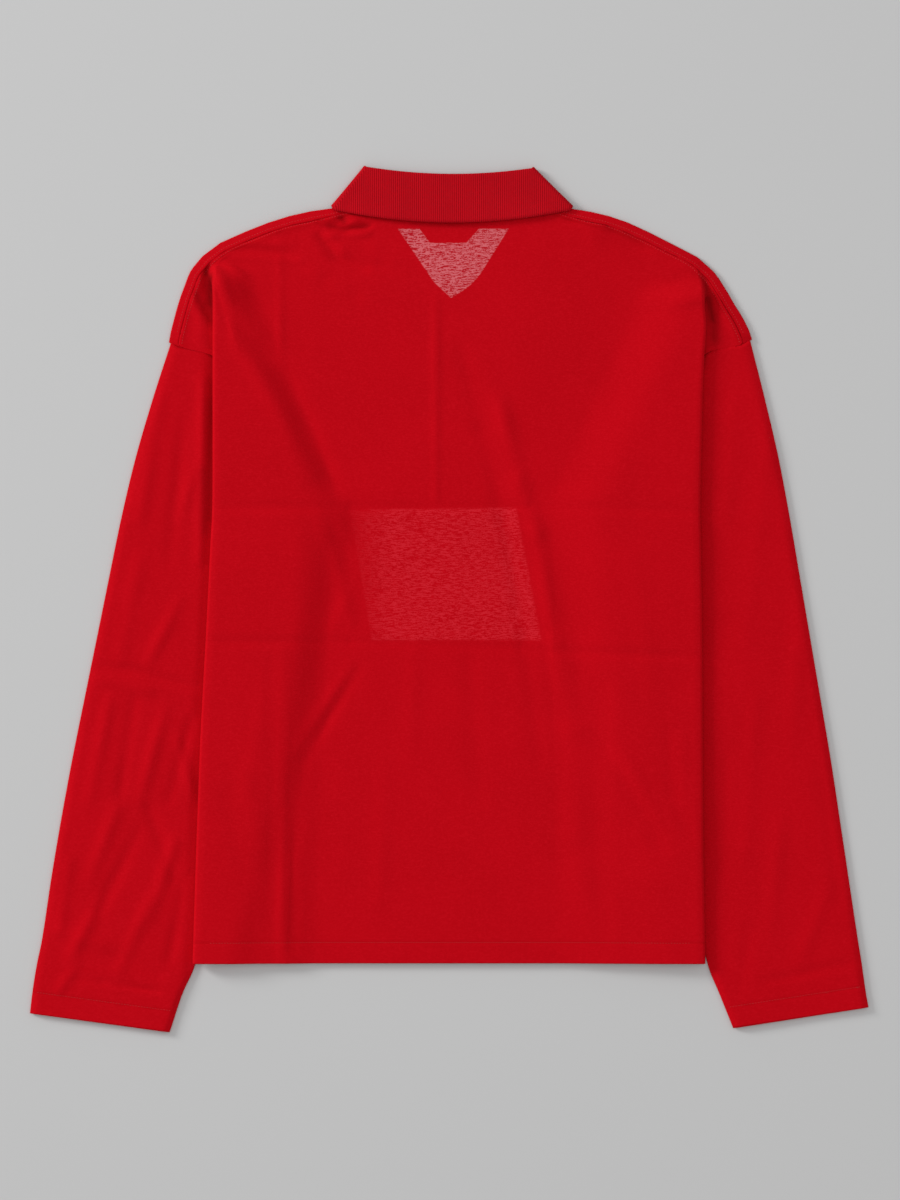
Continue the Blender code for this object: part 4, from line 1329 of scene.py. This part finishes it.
# %% Collar with its ribs
coarse = collar_lines()
at = np.append(0.0, np.cumsum(np.linalg.norm(np.diff(coarse[:, FALL_STEPS // 2], axis=0), axis=1)))
wanted = np.arange(0.0, at[-1], COLLAR_SPACING)
fine = ease_through(coarse, at, wanted).transpose(1, 0, 2)[::-1]
first_back = len(COLLAR_LEAF) + SIDE_LINES
inside = np.clip(wanted, at[first_back], at[first_back + BACK_LINES - 1])
nearest = np.searchsorted(wanted, inside)
along = fine[:, nearest, 0] + wanted - inside
collar = cloth("collar_rib", fine, WALL, {"rib": along})
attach(collar, "root")
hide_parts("collar")
print("ribs along the collar:", int(at[-1] / RIB_PITCH), "points:", len(collar.data.vertices))

# %% [markdown]
# ## Tape and label
# Inside the neck a tape covers the seam, and a label is sewn below it. Both lie behind the single
# layer of the back panel and are seen only as a darker place. Two plain flat pieces with bevelled
# edges are enough for that.


# %% Tape and label
def board(name, corners, z_top, thickness):
    """A flat piece of cloth with a small bevel."""
    bm = bmesh.new()
    low = [bm.verts.new((x * MM, y * MM, (z_top - thickness) * MM)) for x, y in corners]
    face = bm.faces.new(low)
    out = bmesh.ops.extrude_face_region(bm, geom=[face])
    moved = [v for v in out["geom"] if isinstance(v, bmesh.types.BMVert)]
    bmesh.ops.translate(bm, verts=moved, vec=(0, 0, thickness * MM))
    bmesh.ops.recalc_face_normals(bm, faces=bm.faces)
    obj = object_from(bm, name)
    edge = obj.modifiers.new("bevel", "BEVEL")
    edge.width = 0.0002
    edge.segments = 2
    return obj


UNDER_BACK = PAIR_MID + LIFT_OVER_LEAF - GAP / 2
tape = board("neck_tape_cloth", TAPE, UNDER_BACK, 0.7)
label = board("neck_label_cloth", LABEL, UNDER_BACK, 0.6)
for piece, node, slot_name in ((tape, "neck_tape", "tape"), (label, "neck_label", "label")):
    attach(piece, "root")
    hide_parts(node)
print("tape and label reach up to %.2f mm" % UNDER_BACK)

# %% [markdown]
# ## Stitches
# A seam is a row of short threads. A curve with a pattern of dashes would be flat, so each thread
# is a small ball, stretched along the seam. There are hundreds, and so each has only a few faces.

# %% Rows of stitches
STITCH_SPACING = 2.6
STITCH_LENGTH = 1.9
STITCH_RISE = 0.5
THREAD = 0.24
SHOULDER_THREAD = 0.26


def resample(points, spacing):
    """Points at an even spacing along a line."""
    points = points[~np.isnan(points[:, 0])]
    at = np.append(0.0, np.cumsum(np.linalg.norm(np.diff(points, axis=0), axis=1)))
    wanted = np.arange(spacing / 2, at[-1], spacing)
    return np.column_stack([np.interp(wanted, at, points[:, k]) for k in range(3)])


def stitches(name, lines, radius):
    """Short threads along lines of points in millimetres, lying on the cloth's upper face."""
    bm = bmesh.new()
    for line in lines:
        spots = resample(line, STITCH_SPACING)
        runs = unit(np.gradient(spots, axis=0))
        for centre, run in zip(spots, runs):
            heading = Vector((float(run[0]), float(run[1]), float(run[2])))
            turn = heading.to_track_quat("X", "Z").to_matrix().to_4x4()
            size = Matrix.Diagonal((STITCH_LENGTH / 2 * MM, radius * MM, radius * 0.7 * MM, 1.0))
            place = Matrix.Translation(Vector((centre[0], centre[1], centre[2] + STITCH_RISE)) * MM)
            bmesh.ops.create_icosphere(bm, subdivisions=1, radius=1.0, matrix=place @ turn @ size)
    for f in bm.faces:
        f.smooth = True
    obj = object_from(bm, name)
    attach(obj, "root")
    print(name, "threads:", sum(len(resample(line, STITCH_SPACING)) for line in lines))
    return obj


# %% [markdown]
# The seams follow rows and columns of the cloth grids, so they lie on the cloth with all its
# creases.


# %% Lines for the stitches
def hem_line(distance):
    """The row of the back panel nearest to a distance from the hem, on its visible part."""
    count = back_middle.shape[1] // 2
    main = BACK_STEPS.even + BACK_STEPS.ramp + BACK_STEPS.back
    row = int(np.nanargmin(np.abs(back_middle[:, count, 1] - HEM_Y - distance)))
    return back_grid[row, count - 1 - main + 2:count - 1 + main - 1]


def cuff_line(side, distance):
    """Points of a sleeve's upper face at a distance from the cuff, column by column."""
    line = []
    for column in range(1, SLEEVE_STEPS - 1):
        points = sleeve_points[side][::-1, column]
        gap = cuff_gap(side, side * points[:, 0], points[:, 1])
        line.append([np.interp(distance, gap, points[:, k]) for k in range(3)])
    return np.array(line)


def shoulder_line(side, inward):
    """Points of the back panel at a distance inside the shoulder seam, row by row."""
    half = back_grid.shape[1] // 2
    line = []
    for row in range(cap_last + 1):
        points = back_grid[row, :half] if side == LEFT else back_grid[row, ::-1][:half]
        at = np.append(0.0, np.cumsum(np.linalg.norm(np.diff(points[:, :2], axis=0), axis=1)))
        line.append([np.interp(inward, at, points[:, k]) for k in range(3)])
    return np.array(line)


print("points of the hem line:", len(hem_line(HEM_STITCH)))

# %% [markdown]
# The hem has one row, each cuff has one, and each shoulder has one on either side of its seam.

# %% Stitches of the hem, cuffs and shoulders
hem_stitches = stitches("hem_stitches", [hem_line(HEM_STITCH)], THREAD)
cuff_lines = [cuff_line(side, CUFF_STITCH) for side in (LEFT, RIGHT)]
cuff_stitches = stitches("cuff_stitches", cuff_lines, THREAD)
shoulder_lines = [shoulder_line(side, SHOULDER_STITCH) for side in (LEFT, RIGHT)]
shoulder_lines += [left_wrap[:wrap_last, -3], right_wrap[:wrap_last, -3]]
shoulder_stitches = stitches("shoulder_stitches", shoulder_lines, SHOULDER_THREAD)
print("vertices of the shoulder threads:", len(shoulder_stitches.data.vertices))

# %% [markdown]
# ## Materials
# A fine knit is mostly colour with a little unevenness, a very low bump and some sheen from loose
# fibres. A photograph of cloth could be laid on it, but that would bring its own light along. So
# the patterns are worked out by nodes, from Object coordinates, and stay on the cloth from every
# side.


# %% Material helpers
def new_material(name):
    """A new node material, its node tree and its Principled shader."""
    mat = bpy.data.materials.new(name)
    mat.use_nodes = True
    tree = mat.node_tree
    return mat, tree, tree.nodes["Principled BSDF"]


def add(tree, kind, inputs=None, **settings):
    """A node with its settings and its input values or links."""
    node = tree.nodes.new(kind)
    for key, value in settings.items():
        setattr(node, key, value)
    for key, value in (inputs or {}).items():
        if isinstance(value, bpy.types.NodeSocket):
            tree.links.new(value, node.inputs[key])
        else:
            node.inputs[key].default_value = value
    return node


def maths(tree, operation, a, b=0.0, clamp=False):
    """The result of one sum on numbers or sockets."""
    return add(tree, "ShaderNodeMath", {0: a, 1: b}, operation=operation, use_clamp=clamp).outputs[0]


def ramp(tree, value, low, high, to_low=0.0, to_high=1.0):
    """A value spread from one range to another, and kept inside it."""
    node = add(tree, "ShaderNodeMapRange", {
        "Value": value, "From Min": low, "From Max": high, "To Min": to_low, "To Max": to_high,
    }, interpolation_type="SMOOTHSTEP")
    return node.outputs[0]


def mix(tree, factor, a, b):
    """Two colours mixed by a factor."""
    node = add(tree, "ShaderNodeMix", data_type="RGBA")
    for key, value in ((0, factor), (6, a), (7, b)):
        if isinstance(value, bpy.types.NodeSocket):
            tree.links.new(value, node.inputs[key])
        else:
            node.inputs[key].default_value = value
    return node.outputs[2]


print("materials of the plain model:", len(bpy.data.materials))

# %% [markdown]
# A place with straight edges, such as the opening behind the back panel, is found by its edges: a
# point is inside when it is on the inner side of each. That works for outlines without dents.


# %% Places with straight edges
def inside_outline(tree, position, corners, soft):
    """1 inside a convex outline in millimetres, easing to 0 across its edge."""
    middle = np.mean(corners, axis=0)
    found = None
    for a, b in zip(corners, corners[1:] + corners[:1]):
        run = unit(np.array(b, float) - np.array(a, float))
        inward = np.array((-run[1], run[0]))
        if np.dot(middle - np.array(a), inward) < 0:
            inward = -inward
        ends = {0: position, 1: (inward[0], inward[1], 0.0)}
        dot = add(tree, "ShaderNodeVectorMath", ends, operation="DOT_PRODUCT").outputs["Value"]
        at = np.dot(inward, a)
        near = ramp(tree, dot, (at - soft) * MM, (at + soft) * MM)
        found = near if found is None else maths(tree, "MULTIPLY", found, near)
    return found


print("edges of the tape:", len(TAPE))

# %% [markdown]
# Noise and waves come up in every cloth below, so each has a short helper. `loose_fibres` sets what
# all knitted cloth shares: almost no gloss and a faint red sheen.


# %% Helpers for knitted cloth
def noise(tree, place, scale, detail):
    """Uneven spots at a scale."""
    inputs = {"Vector": place, "Scale": scale, "Detail": detail}
    return add(tree, "ShaderNodeTexNoise", inputs).outputs[0]


def waves(tree, place, scale, distortion, direction):
    """Even waves at a scale, along one direction."""
    inputs = {"Vector": place, "Scale": scale, "Distortion": distortion}
    return add(tree, "ShaderNodeTexWave", inputs, bands_direction=direction).outputs[1]


def squeezed(tree, place, share):
    """Places drawn out along X, so that spots become streaks."""
    return add(tree, "ShaderNodeMapping", {"Vector": place, "Scale": (share, 1.0, 1.0)}).outputs[0]


def relief(tree, shader, height, strength, distance):
    """A bump from a height."""
    inputs = {"Height": height, "Strength": strength, "Distance": distance}
    tree.links.new(add(tree, "ShaderNodeBump", inputs).outputs[0], shader.inputs["Normal"])


def loose_fibres(shader, roughness):
    """Almost no gloss, and a faint sheen."""
    shader.inputs["Roughness"].default_value = roughness
    shader.inputs["Specular IOR Level"].default_value = 0.05
    shader.inputs["Sheen Weight"].default_value = 0.02
    shader.inputs["Sheen Roughness"].default_value = 0.5
    shader.inputs["Sheen Tint"].default_value = (1.0, 0.2, 0.2, 1.0)


print("one wave every %.2f mm at scale 330" % (1000 * math.pi / 10 / 330))

# %% [markdown]
# ## Colours of the knit
# The back panel is a single layer over the front neck opening, so it looks paler there, with the
# table's light between the yarns. Below, a plain backing behind the cloth shows as a faint patch.
# Letting light through would need very thin cloth and slow renders, so both are painted as paler
# yarns.

# %% Jersey
RED = (0.560, 0.0006, 0.0062, 1.0)
DARK_RED = (0.500, 0.0004, 0.0050, 1.0)
# A dark red for the painted shade beside the folds.
PAINTED_SHADE_RED = (0.160, 0.0001, 0.0010, 1.0)
LIT_RED = (0.640, 0.0030, 0.0110, 1.0)
# A dark red for the painted shade along the stitched grooves.
STITCH_SHADE_RED = (0.400, 0.0003, 0.0025, 1.0)
SEE_THROUGH = (0.50, 0.008, 0.017, 1.0)
SEE_SPECK = (0.72, 0.146, 0.168, 1.0)
PATCH = (0.69, 0.016, 0.029, 1.0)
LABEL_SHADE = [Corner(-30.5, 344.0), Corner(-17.7, 327.0), Corner(15.7, 327.0), Corner(31.0, 344.0)]
OPENING = [
    spot(398, 229.5),
    spot(434, 282.5),
    spot(451, 298.5),
    spot(462, 292),
    spot(471, 285),
    spot(480, 275),
    spot(508.5, 229.5),
]
BACKING = [
    spot(350, 510),
    spot(516, 508),
    spot(541, 640),
    spot(372, 640),
]
print("corners of the opening:", len(OPENING), "and of the backing:", len(BACKING))

# %% [markdown]
# The knit is streaky along its rows. A noise that is drawn out along X gives the streaks, a fine
# noise gives the fibres, and two waves give the loops in the bump. `windows` adds the two paler
# places.


# %% Jersey material
def jersey(name, windows):
    """Fine red knit. With windows it also shows what lies behind the single layer."""
    mat, tree, shader = new_material(name)
    place = add(tree, "ShaderNodeTexCoord").outputs["Object"]
    slow = noise(tree, place, 14.0, 3.0)
    fine = noise(tree, place, 620.0, 3.0)
    slub = noise(tree, squeezed(tree, place, 0.40), 800.0, 2.0)
    wales = waves(tree, place, 330.0, 0.6, "X")
    rows = waves(tree, place, 410.0, 0.6, "Y")
    colour = mix(tree, ramp(tree, slow, 0.35, 0.65, 0.0, 0.35), RED, DARK_RED)
    colour = mix(tree, ramp(tree, fine, 0.40, 0.70, 0.0, 0.35), colour, LIT_RED)
    colour = mix(tree, ramp(tree, slub, 0.52, 0.70, 0.0, 0.40), colour, LIT_RED)
    colour = mix(tree, ramp(tree, slub, 0.46, 0.34, 0.0, 0.30), colour, DARK_RED)
    if windows:
        opening = inside_outline(tree, place, OPENING, 0.5)
        label_mask = inside_outline(tree, place, LABEL_SHADE, 0.5)
        opening = maths(tree, "MULTIPLY", opening, maths(tree, "SUBTRACT", 1.0, label_mask))
        streak = noise(tree, squeezed(tree, place, 0.14), 1200.0, 0.0)
        grain = noise(tree, squeezed(tree, place, 0.45), 1500.0, 0.0)
        streak = maths(tree, "MULTIPLY", streak, 0.55)
        weave = maths(tree, "ADD", streak, maths(tree, "MULTIPLY", grain, 0.45))
        speck = ramp(tree, weave, 0.40, 0.57)
        pale = mix(tree, speck, SEE_THROUGH, SEE_SPECK)
        colour = mix(tree, opening, colour, pale)
        backing = inside_outline(tree, place, BACKING, 1.6)
        patch = maths(tree, "MULTIPLY", backing, ramp(tree, weave, 0.42, 0.60, 0.0, 0.9))
        across = add(tree, "ShaderNodeSeparateXYZ", {0: place}).outputs[0]
        patch = maths(tree, "MULTIPLY", patch, ramp(tree, across, -0.092, -0.050, 0.20, 1.0))
        colour = mix(tree, patch, colour, PATCH)
    # Painted shade along the stitched grooves, kept as an attribute.
    line = add(tree, "ShaderNodeAttribute", attribute_name="stitch_shade").outputs["Fac"]
    colour = mix(tree, maths(tree, "MULTIPLY", line, 0.45, True), colour, STITCH_SHADE_RED)
    # Painted shade: the colour darkens beside the folds, where little light reaches.
    painted_shade = add(tree, "ShaderNodeAttribute", attribute_name="painted_shade").outputs["Fac"]
    colour = mix(tree, maths(tree, "MULTIPLY", painted_shade, 0.8, True), colour, PAINTED_SHADE_RED)
    tree.links.new(colour, shader.inputs["Base Color"])
    height = maths(tree, "ADD", maths(tree, "MULTIPLY", wales, 0.6), maths(tree, "MULTIPLY", rows, 0.4))
    height = maths(tree, "ADD", height, fine)
    relief(tree, shader, height, 0.30, 0.0002)
    loose_fibres(shader, 0.86)
    return mat


print("streaks follow X, the rows of the knit")

# %% [markdown]
# Only the back panel has the paler places. The front and the sleeves share a plainer material.

# %% Jersey on its pieces
back.data.materials.append(jersey("jersey_back", True))
plain_jersey = jersey("jersey_plain", False)
for piece in (front, sleeves[LEFT], sleeves[RIGHT]):
    piece.data.materials.append(plain_jersey)
print("nodes of the back's material:", len(back.data.materials[0].node_tree.nodes))

# %% [markdown]
# The rib material reads how far along the collar a point is, and makes the valleys between the
# ribs lower, with painted shade that darkens them. The tape, the label and the threads are plain
# yarn with a small weave in the bump, and painted shade in the low lines of the weave.

# %% Rib, tape, label and thread
# The dark red paints shade into the valleys between the ribs, and also mottles the rib at random.
RIB_TOP = (0.590, 0.0050, 0.0135, 1.0)
RIB_SHADE_AND_MOTTLE = (0.350, 0.0014, 0.0058, 1.0)


def rib_material():
    """Red rib whose valleys are darkened with painted shade."""
    mat, tree, shader = new_material("rib_knit")
    place = add(tree, "ShaderNodeTexCoord").outputs["Object"]
    along = add(tree, "ShaderNodeAttribute", attribute_name="rib").outputs["Fac"]
    turned = maths(tree, "COSINE", maths(tree, "MULTIPLY", along, 2 * math.pi / RIB_PITCH))
    rib = maths(tree, "MULTIPLY", maths(tree, "ADD", turned, 1.0), 0.5)
    fine = noise(tree, place, 700.0, 3.0)
    slow = noise(tree, place, 30.0, 2.0)
    # Painted shade: the valleys between the ribs are darker.
    colour = mix(tree, ramp(tree, rib, 0.1, 0.8), RIB_SHADE_AND_MOTTLE, RIB_TOP)
    colour = mix(tree, ramp(tree, fine, 0.42, 0.62, 0.0, 0.45), colour, RED)
    # Slow random patches of the same dark red.
    colour = mix(tree, ramp(tree, slow, 0.3, 0.7, 0.0, 0.2), colour, RIB_SHADE_AND_MOTTLE)
    tree.links.new(colour, shader.inputs["Base Color"])
    height = maths(tree, "ADD", rib, maths(tree, "MULTIPLY", fine, 0.4))
    relief(tree, shader, height, 0.6, 0.0003)
    loose_fibres(shader, 0.88)
    return mat


def yarn_material(name, colour, scale, roughness):
    """Plain yarn: one colour with a fine uneven weave, and painted shade in the weave's low lines."""
    mat, tree, shader = new_material(name)
    place = add(tree, "ShaderNodeTexCoord").outputs["Object"]
    weave = waves(tree, place, scale, 1.0, "DIAGONAL")
    # Painted shade: the weave's low lines get a darker copy of the colour.
    weave_shade = tuple(c * 0.7 for c in colour[:3]) + (1.0,)
    tree.links.new(mix(tree, weave, weave_shade, colour), shader.inputs["Base Color"])
    relief(tree, shader, weave, 0.4, 0.0002)
    shader.inputs["Roughness"].default_value = roughness
    return mat


collar.data.materials.append(rib_material())
tape.data.materials.append(yarn_material("tape_weave", (0.45, 0.004, 0.009, 1.0), 380.0, 0.8))
label.data.materials.append(yarn_material("label_weave", (0.56, 0.03, 0.04, 1.0), 420.0, 0.7))
thread = yarn_material("seam_thread", (0.70, 0.010, 0.020, 1.0), 900.0, 0.6)
for piece in (hem_stitches, cuff_stitches, shoulder_stitches):
    piece.data.materials.append(thread)
print("materials:", [m.name for m in bpy.data.materials])

# %% [markdown]
# Each sheet of cloth was cut flat before it was sewn.

# %% [markdown]
# ## Table, light and camera
# The shirt lies on a large pale table. A lamp right above hides creases when it is the only one.
# So a large soft lamp above lights the cloth evenly, and a lower one at the upper left rakes
# across the creases.

# %% Table, light and camera
TABLE_DROP = 0.0006
bpy.ops.mesh.primitive_plane_add(size=8.0, location=(0, 0, -TABLE_DROP))
floor = bpy.context.object
floor.name = "table_top"
floor_mat, _, floor_shader = new_material("pale_table")
floor_shader.inputs["Base Color"].default_value = (0.62, 0.62, 0.62, 1.0)
floor_shader.inputs["Roughness"].default_value = 0.9
floor.data.materials.append(floor_mat)

world = bpy.data.worlds.new("studio")
world.use_nodes = True
world.node_tree.nodes["Background"].inputs["Color"].default_value = (1, 1, 1, 1)
world.node_tree.nodes["Background"].inputs["Strength"].default_value = 0.46
bpy.context.scene.world = world


def lamp(name, location, size, power):
    """A square soft lamp that looks at the middle of the shirt."""
    data = bpy.data.lights.new(name, "AREA")
    data.size = size
    data.energy = power
    obj = bpy.data.objects.new(name, data)
    bpy.context.scene.collection.objects.link(obj)
    obj.location = location
    obj.rotation_euler = (-Vector(location)).to_track_quat("-Z", "Y").to_euler()
    return obj


lamp("overhead", (0.3, 0.3, 3.2), 2.5, 20.5)
lamp("raking", (-5.5, 2.6, 2.2), 1.6, 275.0)

# %% [markdown]
# The camera looks straight down, as the photograph does. Its lens is chosen so that the height of
# the picture covers `VIEW_LENGTH` on the table.

# %% Camera
CAMERA_HEIGHT = 3.2
VIEW_LENGTH = 1200 * PIXEL * MM
SENSOR = 36.0
camera_data = bpy.data.cameras.new("camera")
camera_data.sensor_fit = "VERTICAL"
camera_data.sensor_height = SENSOR
camera_data.lens = SENSOR * CAMERA_HEIGHT / VIEW_LENGTH
camera = bpy.data.objects.new("camera", camera_data)
bpy.context.scene.collection.objects.link(camera)
camera.location = (0.0007, -0.0010, CAMERA_HEIGHT)
bpy.context.scene.camera = camera
bpy.context.scene.view_settings.view_transform = "Standard"
print("lens: %.1f mm" % camera_data.lens)
